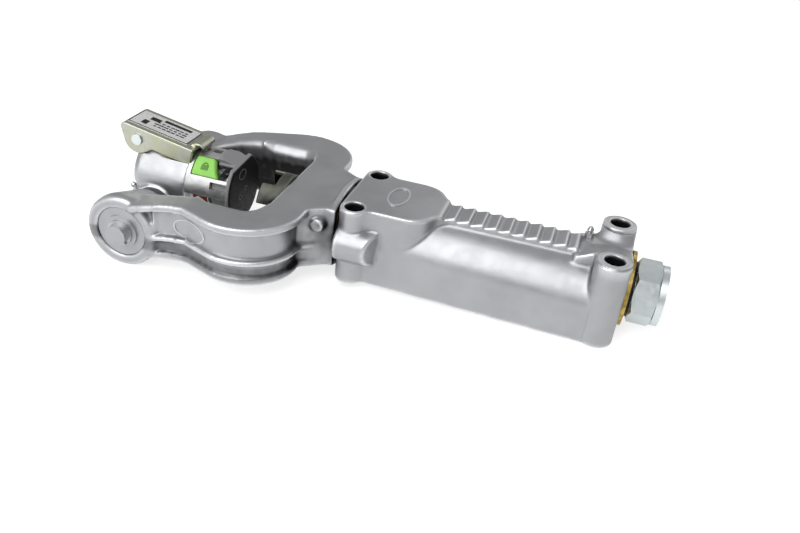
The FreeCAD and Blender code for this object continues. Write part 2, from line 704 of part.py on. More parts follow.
def make_yoke():
    body = new_body("yoke_casting")
    web = (size("web_inset"), size("web_turn_y"), size("web_flange_y"))
    foot = (size("foot_inset"), size("web_turn_y"), size("web_flange_y"))
    ridge = (size("ridge_inset"), size("web_turn_y"), size("web_flange_y"))
    top = (0.0, size("lip_turn_y"), size("lip_flange_y"))
    layers = (("web", web, "-" + ref("arm_root_half_height"), "2 * " + ref("arm_root_half_height")),
              ("top_lip", top, ref("arm_root_half_height") + " - " + ref("lip_height"), ref("lip_height")),
              ("ridge", ridge, ref("ridge_low_z"), ref("ridge_high_z") + " - " + ref("ridge_low_z")),
              ("foot", foot, "-" + ref("arm_root_half_height"), ref("lip_height")))
    for name, shape, low, height in layers:
        plan = outline_sketch(body, name + "_plan", "XY_Plane", yoke_half(1, *shape) + yoke_half(-1, *shape),
                              {"z": low})
        add_pad(body, name, plan, height)

    wide = size("flange_half_width")
    side_z = size("flange_side_z")
    high = size("flange_half_height")
    crown = Part.Arc(Vector(-wide, side_z, 0), Vector(0, high, 0), Vector(wide, side_z, 0))
    keel = Part.Arc(Vector(-wide, -side_z, 0), Vector(0, -high, 0), Vector(wide, -side_z, 0))
    flange = outline_sketch(body, "flange_section", "YZ_Plane", [
        crown, line((wide, side_z), (wide, -side_z)), keel, line((-wide, -side_z), (-wide, side_z))],
        {"z": AT_FLANGE_FRONT})
    add_pad(body, "flange", flange, ref("flange_thickness"))

    for side, name in ((-1, "near"), (1, "far")):
        start = "-" if side > 0 else ""
        dowel = round_sketch(body, name + "_web_boss_section", "XZ_Plane", ref("web_boss_radius"), {
            "x": ref("web_boss_x"), "y": ref("web_boss_z"), "z": start + ref("web_flange_y")})
        add_pad(body, name + "_web_boss", dowel, ref("web_boss_y") + " - " + ref("web_flange_y"),
                backwards=side > 0)
        dimple = round_sketch(body, name + "_boss_hole_section", "XZ_Plane", ref("web_boss_hole_radius"), {
            "x": ref("web_boss_x"), "y": ref("web_boss_z"), "z": start + ref("web_boss_y")})
        add_pocket(body, name + "_web_boss_hole", dimple, ref("web_boss_hole_depth"), backwards=side > 0)
        sections = [arm_section(body, "%s_arm_%s_section" % (name, station), side, station)
                    for station in ARM_STATIONS]
        arm = body.newObject("PartDesign::AdditiveLoft", name + "_arm")
        arm.Profile = sections[0]
        arm.Sections = sections[1:]
        arm.Ruled = True
        arm.Refine = True
        doc.recompute()

    outer = size("arm_boss_outer_y")
    shoulder = size("arm_boss_shoulder_y")
    inner = size("arm_boss_inner_y")
    ring = size("arm_boss_radius")
    rounding = size("arm_boss_round")
    for side, name in ((-1, "near"), (1, "far")):
        boss = outline_sketch(body, name + "_arm_boss_profile", "XY_Plane", [
            line((0, inner), (0, outer), side),
            line((0, outer), (ring - rounding, outer), side),
            arc((ring - rounding, outer - rounding), rounding, 0, 90, side),
            line((ring, outer - rounding), (ring, shoulder), side),
            line((ring, shoulder), (size("arm_boss_inner_radius"), inner), side),
            line((size("arm_boss_inner_radius"), inner), (0, inner), side)], PITCH_AXIS)
        add_turned(body, name + "_arm_boss", boss, "V_Axis")
        rib_y = size("arm_wrist_outer_y") - size("foot_inset")
        root_y = rib_y - 2 * size("web_inset")
        rib = outline_sketch(body, name + "_rib_plan", "XY_Plane", polygon([
            (size("rib_x"), side * root_y),
            (size("rib_x") + size("rib_thickness"), side * root_y),
            (size("rib_x") + size("rib_thickness"), side * (rib_y - size("rib_thickness"))),
            (size("rib_x"), side * rib_y)]), {"z": ref("ridge_low_z") + " + " + ref("pitch_z") + " / 2"})
        add_pad(body, name + "_rib", rib, ref("arm_root_half_height") + " - " + ref("ridge_low_z") + " - "
                + ref("lip_height"))

    for side, name in ((-1, "near"), (1, "far")):
        floor = outer - size("arm_recess_depth")
        seat = outline_sketch(body, name + "_arm_bore_profile", "XY_Plane", polygon([
            (0, side * inner), (size("arm_bush_radius"), side * inner),
            (size("arm_bush_radius"), side * floor), (size("arm_recess_radius"), side * floor),
            (size("arm_recess_radius"), side * outer), (0, side * outer)]), PITCH_AXIS)
        add_turned(body, name + "_arm_bore", seat, "V_Axis", cut=True)
    bore = round_sketch(body, "swivel_hole_section", "YZ_Plane",
                        ref("shaft_radius") + " + " + ref("shaft_fit"))
    add_pocket(body, "swivel_hole", bore, "2 * " + ref("front_holes_x"), backwards=True)
    return body


# Trunnions and what closes the arm bosses
def pitch_piece(label, side, profile):
    """A piece turned about the pitch axis from (along, radius) corners, on one side."""
    body = new_body(label)
    shape = polygon([(radius, side * along) for along, radius in profile])
    sketch = outline_sketch(body, label + "_profile", "XY_Plane", shape, PITCH_AXIS)
    add_turned(body, label + "_turned", sketch, "V_Axis")
    return body


def make_trunnions():
    floor = size("arm_boss_outer_y") - size("arm_recess_depth")
    inner = size("arm_boss_inner_y")
    journal = size("trunnion_radius")
    clear = journal + size("trunnion_fit")
    tip = size("trunnion_tip_radius")
    tip_clear = tip + size("seat_gap")
    disc_top = floor + size("cover_thickness")
    ring_top = disc_top + size("cover_hub_height")
    clip_low = ring_top + size("seat_gap")
    clip_high = clip_low + size("circlip_thickness")
    groove = tip - size("circlip_width") / 2
    for side, name in ((-1, "near"), (1, "far")):
        pitch_piece(name + "_arm_bush", side, box_profile(inner, floor, clear, size("arm_bush_radius")))
        pitch_piece(name + "_cover_disc", side, [
            (floor, tip_clear), (floor, size("arm_recess_radius") - size("seat_gap")),
            (disc_top, size("arm_recess_radius") - size("seat_gap")),
            (disc_top, size("cover_hub_radius")), (ring_top, size("cover_hub_radius")),
            (ring_top, tip_clear)])
        pitch_piece(name + "_trunnion_pin", side, [
            (size("trunnion_root_y"), 0), (size("trunnion_root_y"), journal),
            (floor - size("seat_gap"), journal), (floor - size("seat_gap"), tip), (clip_low, tip),
            (clip_low, groove), (clip_high, groove), (clip_high, tip),
            (size("trunnion_tip_y"), tip), (size("trunnion_tip_y"), 0)])
        clip = pitch_piece(name + "_circlip", side, box_profile(clip_low, clip_high, groove,
                                                                tip + size("circlip_width")))
        low_edge = at((0, 0), 2 * tip, size("circlip_mouth_angle") - size("circlip_gap_angle") / 2)
        high_edge = at((0, 0), 2 * tip, size("circlip_mouth_angle") + size("circlip_gap_angle") / 2)
        mouth = outline_sketch(clip, name + "_circlip_mouth_plan", "XZ_Plane", polygon([
            (0, 0), (low_edge.x, low_edge.y), (high_edge.x, high_edge.y)]), PITCH_CENTRE)
        add_pocket(clip, name + "_circlip_mouth", mouth, "4 * " + ref("trunnion_tip_y"), both_ways=True)


# Latch head
def lever_place(along, rise):
    """A place given in the lever's own directions, as X and Z of the frame."""
    turn = math.radians(size("lever_tilt"))
    return (size("lever_pivot_x") + along * math.cos(turn) + rise * math.sin(turn),
            size("lever_pivot_z") - along * math.sin(turn) + rise * math.cos(turn))


def make_head_casting():
    body = new_body("head_casting")
    radius = size("barrel_radius")
    nose = size("barrel_nose_round")
    front = size("barrel_front_x")
    seam = size("barrel_seam_x")
    land = COLLAR_INNER - size("trunnion_fit")
    groove_x = size("spigot_groove_x")
    groove = COLLAR_INNER - size("band_wall")
    end = size("spigot_end_x")
    barrel = outline_sketch(body, "barrel_profile", "XZ_Plane", [
        line((front, 0), (front, radius - nose)),
        arc((front + nose, radius - nose), nose, 90, 180),
        line((front + nose, radius), (seam, radius)),
        line((seam, radius), (seam, land)),
        line((seam, land), (groove_x, land)),
        line((groove_x, land), (groove_x, groove)),
        line((groove_x, groove), (end, groove)),
        line((end, groove), (end, 0)),
        line((end, 0), (front, 0))], BARREL_AXIS)
    add_turned(body, "barrel", barrel)
    pivot = (size("lever_pivot_x"), size("lever_pivot_z"))
    ear_r = size("ear_radius")
    top = size("barrel_z") + radius
    ear = outline_sketch(body, "lever_ear_side", "XZ_Plane", [
        arc(pivot, ear_r, 0, 180),
        line((pivot[0] - ear_r, pivot[1]), (front + ear_r, top - 2 * ear_r)),
        line((front + ear_r, top - 2 * ear_r), (pivot[0] + 3 * ear_r, top - 2 * ear_r)),
        line((pivot[0] + 3 * ear_r, top - 2 * ear_r), (pivot[0] + ear_r, pivot[1]))])
    add_pad(body, "lever_ear", ear, "2 * " + ref("ear_half_width"), both_ways=True)
    bosses = round_sketch(body, "trunnion_boss_section", "XZ_Plane", ref("head_boss_radius"), PITCH_CENTRE)
    add_pad(body, "trunnion_bosses", bosses, "2 * " + ref("head_boss_y"), both_ways=True)
    low = {"x": ref("pitch_x"), "z": ref("socket_bottom_z")}
    skirt = round_sketch(body, "skirt_section", "XY_Plane", ref("socket_skirt_radius"), low)
    add_pad(body, "skirt", skirt, ref("barrel_z") + " - " + ref("socket_bottom_z"))
    rim = round_sketch(body, "skirt_rim_section", "XY_Plane", ref("socket_rim_radius"), low)
    add_pad(body, "skirt_rim", rim, ref("barrel_z") + " - " + ref("barrel_radius") + " + "
            + ref("collar_wall") + " - 2 * " + ref("slide_gap") + " - " + ref("socket_bottom_z"))

    socket = round_sketch(body, "socket_section", "XY_Plane",
                          ref("socket_radius") + " + " + ref("liner_wall"), low)
    add_pocket(body, "socket", socket, ref("socket_top_z") + " - " + ref("socket_bottom_z"), backwards=True)
    bore = round_sketch(body, "plunger_bore_section", "YZ_Plane",
                        ref("plunger_radius") + " + " + ref("plunger_fit"), BARREL_AXIS)
    add_pocket(body, "plunger_bore", bore, "2 * " + ref("spigot_end_x"), backwards=True)
    pins = round_sketch(body, "trunnion_bore_section", "XZ_Plane", ref("trunnion_radius"), PITCH_CENTRE)
    pins.setExpression(".AttachmentOffset.Base.z", ref("trunnion_root_y"))
    add_pocket(body, "near_trunnion_bore", pins, ref("head_boss_y"), backwards=True)
    pins = round_sketch(body, "far_trunnion_bore_section", "XZ_Plane", ref("trunnion_radius"),
                        {"x": ref("pitch_x"), "y": ref("pitch_z"), "z": "-" + ref("trunnion_root_y")})
    add_pocket(body, "far_trunnion_bore", pins, ref("head_boss_y"))
    pin_hole = round_sketch(body, "lever_pin_hole_section", "XZ_Plane", ref("lever_pin_radius"),
                            {"x": ref("lever_pivot_x"), "y": ref("lever_pivot_z")})
    add_pocket(body, "lever_pin_hole", pin_hole, "4 * " + ref("ear_half_width"), both_ways=True)
    cut_lever_slots(body)
    slot = size("peg_radius") + size("slide_gap")
    slot_plan = outline_sketch(body, "peg_slot_plan", "XY_Plane", polygon([
        (size("peg_x") - slot, -slot), (end, -slot), (end, slot), (size("peg_x") - slot, slot)]),
        {"z": ref("barrel_z")})
    add_pocket(body, "peg_slot", slot_plan, "2 * " + ref("barrel_radius"), backwards=True)
    stem = size("nipple_stem_radius")
    base, lean = HEAD_NIPPLE
    oiler = outline_sketch(body, "nipple_hole_section", "XY_Plane", [arc((0, 0), stem, 0, 360)])
    oiler.AttachmentSupport = None
    oiler.MapMode = "Deactivated"
    oiler.Placement = FreeCAD.Placement(base, lean)
    add_pocket(body, "nipple_hole", oiler, ref("nipple_stem_length") + " + " + ref("slide_gap"))
    spot_r = size("nipple_hex") / math.sqrt(3) + size("slide_gap")
    spot = outline_sketch(body, "nipple_spot_face_section", "XY_Plane", [arc((0, 0), spot_r, 0, 360)])
    spot.AttachmentSupport = None
    spot.MapMode = "Deactivated"
    spot.Placement = oiler.Placement
    add_pocket(body, "nipple_spot_face", spot, ref("nipple_height"), backwards=True)
    return body


def cut_lever_slots(body):
    """Pockets down both sides of the barrel that the lever's walls swing through."""
    gap = size("lever_gap")
    reach = size("lever_wall_rear_reach") + gap
    low = -size("lever_wall_low") - size("lever_slot_drop")
    start = size("lever_wall_low_start") + gap
    lobe = size("lever_lobe_radius") + gap
    corner = (lobe * math.cos(math.radians(size("lever_lobe_end"))),
              lobe * math.sin(math.radians(size("lever_lobe_end"))))
    pivot = (size("lever_pivot_x"), size("lever_pivot_z"))
    top = 2 * lobe
    outline = polygon([
        (pivot[0] - lobe, pivot[1] + top), (pivot[0] - lobe, pivot[1] - lobe),
        (lever_place(*corner)[0], pivot[1] - lobe), lever_place(start, low),
        lever_place(reach, low), lever_place(reach, top)])
    width = ref("lever_sheet") + " + 2 * " + ref("slide_gap")
    for side, name in ((1, "near"), (-1, "far")):
        sheet_face = ref("lever_half_width") + " - " + ref("lever_sheet")
        inner = "%d * (" % side + sheet_face + " - " + ref("slide_gap") + ")"
        sketch = outline_sketch(body, name + "_lever_slot_side", "XZ_Plane", outline, {"z": inner})
        add_pocket(body, name + "_lever_slot", sketch, width, backwards=side > 0)


def make_socket_and_pins():
    liner = new_body("socket_liner")
    bottom = size("socket_bottom_z")
    top = size("socket_top_z")
    inner = size("socket_radius")
    outer = inner + size("liner_wall")
    lead = size("socket_lead")
    relief = inner + size("liner_relief_depth")
    half = size("plunger_radius") + size("slide_gap") + size("liner_relief_margin")
    relief_low = size("barrel_z") - half
    relief_high = size("barrel_z") + half
    wall = outline_sketch(liner, "liner_profile", "XZ_Plane", polygon([
        (inner + lead, bottom), (outer, bottom), (outer, top), (inner, top), (inner, relief_high),
        (relief, relief_high), (relief, relief_low), (inner, relief_low), (inner, bottom + lead)]),
        {"x": ref("pitch_x")})
    add_turned(liner, "liner_turned", wall, "V_Axis")
    window = round_sketch(liner, "liner_window_section", "YZ_Plane",
                          ref("plunger_radius") + " + " + ref("slide_gap"), BARREL_AXIS)
    add_pocket(liner, "liner_window", window, "2 * " + ref("socket_skirt_radius"), backwards=True)

    pin = new_body("lever_pivot_pin")
    place = {"x": ref("lever_pivot_x"), "y": ref("lever_pivot_z")}
    shank = round_sketch(pin, "lever_pin_section", "XZ_Plane", ref("lever_pin_radius"), place)
    add_pad(pin, "lever_pin_shank", shank,
            "2 * (" + ref("lever_half_width") + " + " + ref("slide_gap") + ")",
            both_ways=True)
    for side, name in ((1, "near"), (-1, "far")):
        rim = ref("lever_half_width") + " + " + ref("slide_gap")
        cap = round_sketch(pin, name + "_pin_head_section", "XZ_Plane", ref("lever_pin_head_radius"),
                           {"x": place["x"], "y": place["y"], "z": "%d * (" % side + rim + ")"})
        add_pad(pin, name + "_pin_head", cap, ref("lever_pin_head_thickness"), backwards=side < 0)


def make_nipple(label, base, lean):
    body = new_body(label)
    corner = size("nipple_hex") / math.sqrt(3)
    flats = outline_sketch(body, label + "_hexagon", "XY_Plane", polygon(
        [(p.x, p.y) for p in (at((0, 0), corner, 60 * side) for side in range(6))]))
    add_pad(body, label + "_flats", flats, ref("nipple_hex_height"))
    stem = size("nipple_stem_radius") - size("seat_gap")
    high = size("nipple_height")
    ball = size("nipple_ball_radius")
    neck = size("nipple_neck_radius")
    spindle = outline_sketch(body, label + "_spindle_profile", "XZ_Plane", polygon([
        (0, -size("nipple_stem_length")), (stem, -size("nipple_stem_length")), (stem, 0),
        (neck, size("nipple_hex_height")), (neck, high - size("nipple_ball_height")), (ball, high - ball),
        (ball / 2, high), (0, high)]))
    add_turned(body, label + "_spindle", spindle, "V_Axis")
    body.Placement = FreeCAD.Placement(base, lean)
    return body


# Lock: collar, indicator band, end cap, spring, plunger and tab
def ring_cut(body, name, start, end, from_x, length):
    """Cut a sector out of a ring about the barrel axis, and the same on the far side."""
    for side, label in ((1, "near_"), (-1, "far_")):
        low, high = (start, end) if side > 0 else (180.0 - end, 180.0 - start)
        reach = 2 * size("cap_radius")
        steps = max(1, math.ceil((high - low) / 60.0))
        rim = [at((0, 0), reach, 180.0 - low - (high - low) * step / steps) for step in range(steps + 1)]
        wedge = outline_sketch(body, label + name + "_section", "YZ_Plane",
                               polygon([(0, 0)] + [(p.x, p.y) for p in rim]),
                               {"y": ref("barrel_z"), "z": from_x})
        add_pocket(body, label + name, wedge, length, backwards=True)
        if abs(start + end - 180.0) < NOTHING or start + end < 0 and abs(start + end + 180.0) < NOTHING:
            break


def make_collar():
    body = new_body("plunger_collar")
    collar_end = "(" + ref("cap_end_x") + " - " + ref("cap_end_thickness") + ")"
    front = "(" + ref("barrel_seam_x") + " + " + ref("seat_gap") + ")"
    ring = round_sketch(body, "collar_section", "YZ_Plane", ref("barrel_radius"),
                        {"y": ref("barrel_z"), "z": front})
    add_pad(body, "collar", ring, collar_end + " - " + front)
    bore = round_sketch(body, "collar_bore_section", "YZ_Plane",
                        ref("barrel_radius") + " - " + ref("collar_wall"), BARREL_AXIS)
    add_pocket(body, "collar_bore", bore, "2 * " + ref("cap_end_x"), backwards=True)
    behind_band = ref("barrel_seam_x") + " + " + ref("collar_front_band")
    length = ref("cap_end_x")
    ring_cut(body, "tab_window", size("window_low_angle"), size("window_high_angle"), behind_band, length)
    ring_cut(body, "rail_slot", size("rail_slot_low_angle"), size("rail_slot_high_angle"),
             ref("rail_slot_start"), length)
    high = size("window_high_angle")
    ring_cut(body, "crown_gap", high, 180.0 - high, ref("rail_slot_start"), length)
    skirt = size("collar_skirt_angle")
    ring_cut(body, "skirt_gap", -180.0 - skirt, skirt, "0", length)
    slot = size("peg_radius") + size("slide_gap")
    run = size("peg_x") + size("plunger_travel") + slot
    plan = outline_sketch(body, "collar_peg_slot_plan", "XY_Plane", polygon([
        (size("peg_x") - slot, -slot), (run, -slot), (run, slot), (size("peg_x") - slot, slot)]),
        {"z": ref("barrel_z")})
    add_pocket(body, "collar_peg_slot", plan, "2 * " + ref("barrel_radius"), backwards=True)
    cut_lever_slots(body)

    band = turned_piece("unlocked_band", box_profile(
        size("band_front_x"), size("band_rear_x"), COLLAR_INNER - size("band_wall"), COLLAR_INNER),
        shift=BARREL_AXIS)
    crown = size("band_top_angle")
    ring_cut(band, "band_mouth", crown, 180.0 - crown, "0", "2 * " + length)


def make_cap():
    body = new_body("end_cap")
    plate_x = "(" + ref("cap_end_x") + " - " + ref("cap_end_thickness") + ")"
    rim = size("cap_radius")
    rounding = size("cap_round")
    plate = outline_sketch(body, "cap_plate_profile", "XZ_Plane", [
        line((CAP_PLATE_X, 0), (CAP_PLATE_X, rim)),
        line((CAP_PLATE_X, rim), (size("cap_end_x") - rounding, rim)),
        arc((size("cap_end_x") - rounding, rim - rounding), rounding, 0, 90),
        line((size("cap_end_x"), rim - rounding), (size("cap_end_x"), 0)),
        line((size("cap_end_x"), 0), (CAP_PLATE_X, 0))], BARREL_AXIS)
    add_turned(body, "cap_plate", plate)
    skirt = COLLAR_INNER - size("seat_gap") / 2
    cup = outline_sketch(body, "cup_section", "YZ_Plane", [
        arc((0, 0), skirt, 0, 360), arc((0, 0), skirt - size("cap_wall"), 0, 360)],
        {"y": ref("barrel_z"), "z": plate_x})
    add_pad(body, "cup", cup, ref("cap_cup_depth"), backwards=True)
    window = size("window_low_angle")
    block = size("cap_block_angle")
    slope = size("cap_block_slope")
    ring_cut(body, "cup_window", window, block, plate_x + " - " + ref("cap_cup_depth"), ref("cap_cup_depth"))
    crown = outline_sketch(body, "cap_block_section", "YZ_Plane",
                           sector(block + slope, 180.0 - slope - block, skirt - size("cap_wall"), rim),
                           {"y": ref("barrel_z"), "z": plate_x})
    add_pad(body, "cap_block", crown, plate_x + " - " + ref("rail_slot_start") + " - " + ref("slide_gap"),
            backwards=True)
    return body


def make_plunger():
    nose = size("plunger_nose_x")
    radius = size("plunger_radius")
    bevel = size("plunger_nose_chamfer")
    seat_x = size("spring_seat_x")
    seat_end = seat_x + size("spring_seat_thickness")
    rod = size("guide_rod_radius")
    rod_end = CAP_PLATE_X - size("plunger_travel") - 2 * size("slide_gap")
    plunger = turned_piece("lock_plunger", [
        (nose, 0), (nose, radius - bevel), (nose + bevel, radius), (seat_x, radius),
        (seat_x, size("spring_seat_radius")), (seat_end, size("spring_seat_radius")),
        (seat_end, rod), (rod_end, rod), (rod_end, 0)], shift=BARREL_AXIS)
    hole = round_sketch(plunger, "peg_hole_section", "XY_Plane", ref("peg_radius"),
                        {"x": ref("peg_x"), "z": ref("barrel_z")})
    add_pocket(plunger, "peg_hole", hole, ref("plunger_radius"), backwards=True)
    peg = new_body("plunger_peg")
    section = round_sketch(peg, "peg_section", "XY_Plane", ref("peg_radius"),
                           {"x": ref("peg_x"), "z": ref("barrel_z")})
    add_pad(peg, "peg", section, ref("peg_top_z") + " - " + ref("barrel_z"))

    tab = new_body("locked_tab")
    gap = size("seat_gap")
    low_angle = size("window_low_angle") + gap * 3
    high_angle = size("window_high_angle") - gap * 3
    inner = COLLAR_INNER + gap
    outer = size("barrel_radius") + size("tab_rise")
    front = ref("tab_front_x")
    face = outline_sketch(tab, "tab_section", "YZ_Plane", sector(low_angle, high_angle, inner, outer),
                          {"y": ref("barrel_z"), "z": front})
    add_pad(tab, "tab_face", face, ref("tab_low_rear_x") + " - " + ref("tab_front_x"))
    leg = outline_sketch(tab, "tab_leg_section", "YZ_Plane",
                         sector(size("tab_leg_low_angle"), size("tab_leg_high_angle"),
                                size("spring_seat_radius"), outer - gap),
                         {"y": ref("barrel_z"), "z": ref("tab_leg_front_x")})
    add_pad(tab, "tab_leg", leg, ref("spring_seat_x") + " + " + ref("spring_seat_thickness") + " - "
            + ref("tab_leg_front_x"))
    high_z = size("barrel_z") + 2 * outer
    low_z = size("barrel_z") + inner * math.sin(math.radians(low_angle))
    top_z = size("barrel_z") + outer * math.sin(math.radians(high_angle))
    slope = (size("tab_high_rear_x") - size("tab_low_rear_x")) / (top_z - low_z)
    slant = outline_sketch(tab, "tab_slant_side", "XZ_Plane", polygon([
        (size("tab_low_rear_x"), low_z), (size("tab_low_rear_x") + slope * (high_z - low_z), high_z),
        (2 * size("tab_low_rear_x"), high_z), (2 * size("tab_low_rear_x"), low_z)]))
    add_pocket(tab, "tab_slant", slant, "4 * " + ref("barrel_radius"), both_ways=True)


def make_spring():
    """Lock spring: an eight-sided wire swept along straight steps of a helix."""
    begin = size("spring_seat_x") + size("spring_seat_thickness") + size("seat_gap")
    begin += size("spring_wire") / 2
    run = CAP_PLATE_X - size("spring_wire") / 2 - size("seat_gap") - begin
    steps = int(size("spring_turns") * size("spring_steps_per_turn"))
    nodes = []
    for step in range(steps + 1):
        turn = math.radians(FULL_TURN * step / size("spring_steps_per_turn"))
        nodes.append(Vector(begin + run * step / steps, size("spring_radius") * math.sin(turn),
                            size("barrel_z") + size("spring_radius") * math.cos(turn)))
    path = doc.addObject("Part::Polygon", "spring_path")
    path.Nodes = nodes
    path.Close = False
    wire = doc.addObject("Part::RegularPolygon", "spring_wire_section")
    wire.Polygon = 8
    wire.setExpression("Circumradius", ref("spring_wire") + " / 2")
    wire.Placement = FreeCAD.Placement(nodes[0], FreeCAD.Rotation(Vector(0, 0, 1), nodes[1] - nodes[0]))
    doc.recompute()
    spring = doc.addObject("Part::Sweep", "lock_spring")
    spring.Sections = [wire]
    spring.Spine = (path, ["Edge%d" % (index + 1) for index in range(steps)])
    spring.Solid = True
    spring.Transition = "Right corner"
    EXTRA.append(spring)


# Release lever
def make_lever():
    body = new_body("release_lever")
    low = -size("lever_wall_low")
    front = size("lever_front_reach")
    rise = size("lever_top_rise")
    rear = size("lever_wall_rear_reach")
    lobe = size("lever_lobe_radius")
    lobe_start = size("lever_lobe_start")
    lobe_end = size("lever_lobe_end")
    start = at((0, 0), lobe, lobe_start)
    end = at((0, 0), lobe, lobe_end)
    bend = 2 * size("lever_sheet")
    wall = outline_sketch(body, "lever_side", "XZ_Plane", [
        line((-front + bend, rise), (rear, rise)),
        line((rear, rise), (rear, low)),
        line((rear, low), (size("lever_wall_low_start"), low)),
        line((size("lever_wall_low_start"), low), end),
        arc((0, 0), lobe, lobe_start, lobe_end),
        line(start, (-front, rise - bend)),
        arc((-front + bend, rise - bend), bend, 90, 180)])
    add_pad(body, "lever_channel", wall, "2 * " + ref("lever_half_width"), both_ways=True)
    sheet_mm = size("lever_sheet")
    inside = outline_sketch(body, "lever_inside_side", "XZ_Plane", polygon([
        (-2 * front, -2 * lobe), (2 * rear, -2 * lobe), (2 * rear, rise - sheet_mm),
        (-2 * front, rise - sheet_mm)]))
    add_pocket(body, "lever_inside", inside,
               "2 * (" + ref("lever_half_width") + " - " + ref("lever_sheet") + ")",
               both_ways=True)
    centre = (size("hump_centre_reach"), size("hump_centre_rise"))
    radius = size("hump_radius")
    inner = radius - sheet_mm
    begin = 180.0 - math.degrees(math.asin((rise - centre[1]) / radius))
    finish = size("hump_end_angle")
    hump = outline_sketch(body, "hump_side", "XZ_Plane", [
        arc(centre, radius, finish, begin),
        line(at(centre, radius, begin), at(centre, inner, begin)),
        arc(centre, inner, finish, begin),
        line(at(centre, inner, finish), at(centre, radius, finish))])
    add_pad(body, "hump", hump, "2 * " + ref("lever_tongue_half_width"), both_ways=True)
    hole = round_sketch(body, "lever_pin_hole", "XZ_Plane",
                        ref("lever_pin_radius") + " + " + ref("trunnion_fit"))
    add_pocket(body, "lever_pin_bore", hole, "4 * " + ref("lever_half_width"), both_ways=True)
    tilt = FreeCAD.Rotation(Vector(0, 1, 0), size("lever_tilt"))
    pivot = Vector(size("lever_pivot_x"), 0, size("lever_pivot_z"))
    body.Placement = FreeCAD.Placement(pivot, tilt)

    label = new_body("lever_label")
    wide = size("label_half_width")
    plan = outline_sketch(label, "label_plan", "XY_Plane", polygon([
        (size("label_front"), -wide), (size("label_rear"), -wide), (size("label_rear"), wide),
        (size("label_front"), wide)]), {"z": ref("lever_top_rise")})
    add_pad(label, "label", plan, ref("label_thickness"))
    label.Placement = body.Placement
    return body


NIPPLE_PLACE = at((size("pitch_x"), size("pitch_z")), size("head_boss_radius"), size("head_nipple_angle"))
HEAD_NIPPLE = (Vector(NIPPLE_PLACE.x, -size("head_nipple_y"), NIPPLE_PLACE.y),
               FreeCAD.Rotation(Vector(0, 1, 0), -size("head_nipple_lean")))

make_body_casting()
make_swivel()
make_yoke()
make_trunnions()
make_head_casting()
make_socket_and_pins()
make_nipple("head_grease_nipple", *HEAD_NIPPLE)
make_nipple("body_grease_nipple", Vector(size("body_nipple_x"), size("body_nipple_y"), size("rear_deck_z")),
            FreeCAD.Rotation())
make_collar()
make_cap()
make_plunger()
make_spring()
make_lever()

doc.recompute()
for piece in doc.Objects:
    for flag in ("Invalid", "Error"):
        if flag in piece.State:
            raise ValueError("%s is %s" % (piece.Name, flag))

# The frame's origin is the middle of the tow pin's socket, on the axis the head pitches about
TO_ORIGIN = FreeCAD.Placement(Vector(-size("pitch_x"), 0, -size("pitch_z")), FreeCAD.Rotation())
PIECES = [piece for piece in doc.Objects if piece.TypeId == "PartDesign::Body" or piece in EXTRA]
os.makedirs("parts", exist_ok=True)
for piece in PIECES:
    piece.Placement = TO_ORIGIN.multiply(piece.Placement)
    if piece.Shape.isNull() or not piece.Shape.isValid():
        raise ValueError("bad shape: " + piece.Label)
    piece.Shape.exportStep("parts/" + piece.Label + ".step")
    print(piece.Label, len(piece.Shape.Solids), round(piece.Shape.Volume, 1))
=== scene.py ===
import functools
import json
import math

import bmesh
import bpy
import numpy as np
from bpy.props import FloatProperty, FloatVectorProperty, IntProperty, PointerProperty
from mathutils import Matrix, Vector
from mathutils.bvhtree import BVHTree

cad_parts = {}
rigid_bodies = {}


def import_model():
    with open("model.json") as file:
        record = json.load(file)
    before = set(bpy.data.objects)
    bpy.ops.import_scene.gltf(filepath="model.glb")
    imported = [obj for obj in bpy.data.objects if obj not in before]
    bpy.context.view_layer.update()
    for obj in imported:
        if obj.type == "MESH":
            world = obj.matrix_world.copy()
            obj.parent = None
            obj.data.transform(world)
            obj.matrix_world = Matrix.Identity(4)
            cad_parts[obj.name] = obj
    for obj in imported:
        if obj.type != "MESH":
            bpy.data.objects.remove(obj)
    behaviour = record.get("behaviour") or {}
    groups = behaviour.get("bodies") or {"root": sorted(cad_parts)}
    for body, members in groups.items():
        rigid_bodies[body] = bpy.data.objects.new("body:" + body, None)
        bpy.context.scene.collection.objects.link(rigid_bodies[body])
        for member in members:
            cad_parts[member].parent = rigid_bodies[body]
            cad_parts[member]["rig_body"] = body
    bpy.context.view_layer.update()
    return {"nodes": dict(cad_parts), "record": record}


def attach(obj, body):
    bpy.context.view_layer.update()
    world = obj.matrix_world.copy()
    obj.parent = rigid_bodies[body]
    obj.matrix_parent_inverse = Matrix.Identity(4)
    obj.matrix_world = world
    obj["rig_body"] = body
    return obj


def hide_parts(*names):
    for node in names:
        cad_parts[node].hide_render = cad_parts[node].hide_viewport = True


bl_info = {
    "name": "Trailer Coupling Head",
    "version": (1, 0, 0),
    "blender": (4, 5, 0),
    "location": "View3D > Sidebar > Coupling",
    "description": "Cast skins, plated metal, plastics and small trim on the coupling head's frame",
    "category": "Object",
}

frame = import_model()
NODES = frame["nodes"]
MM = 0.001

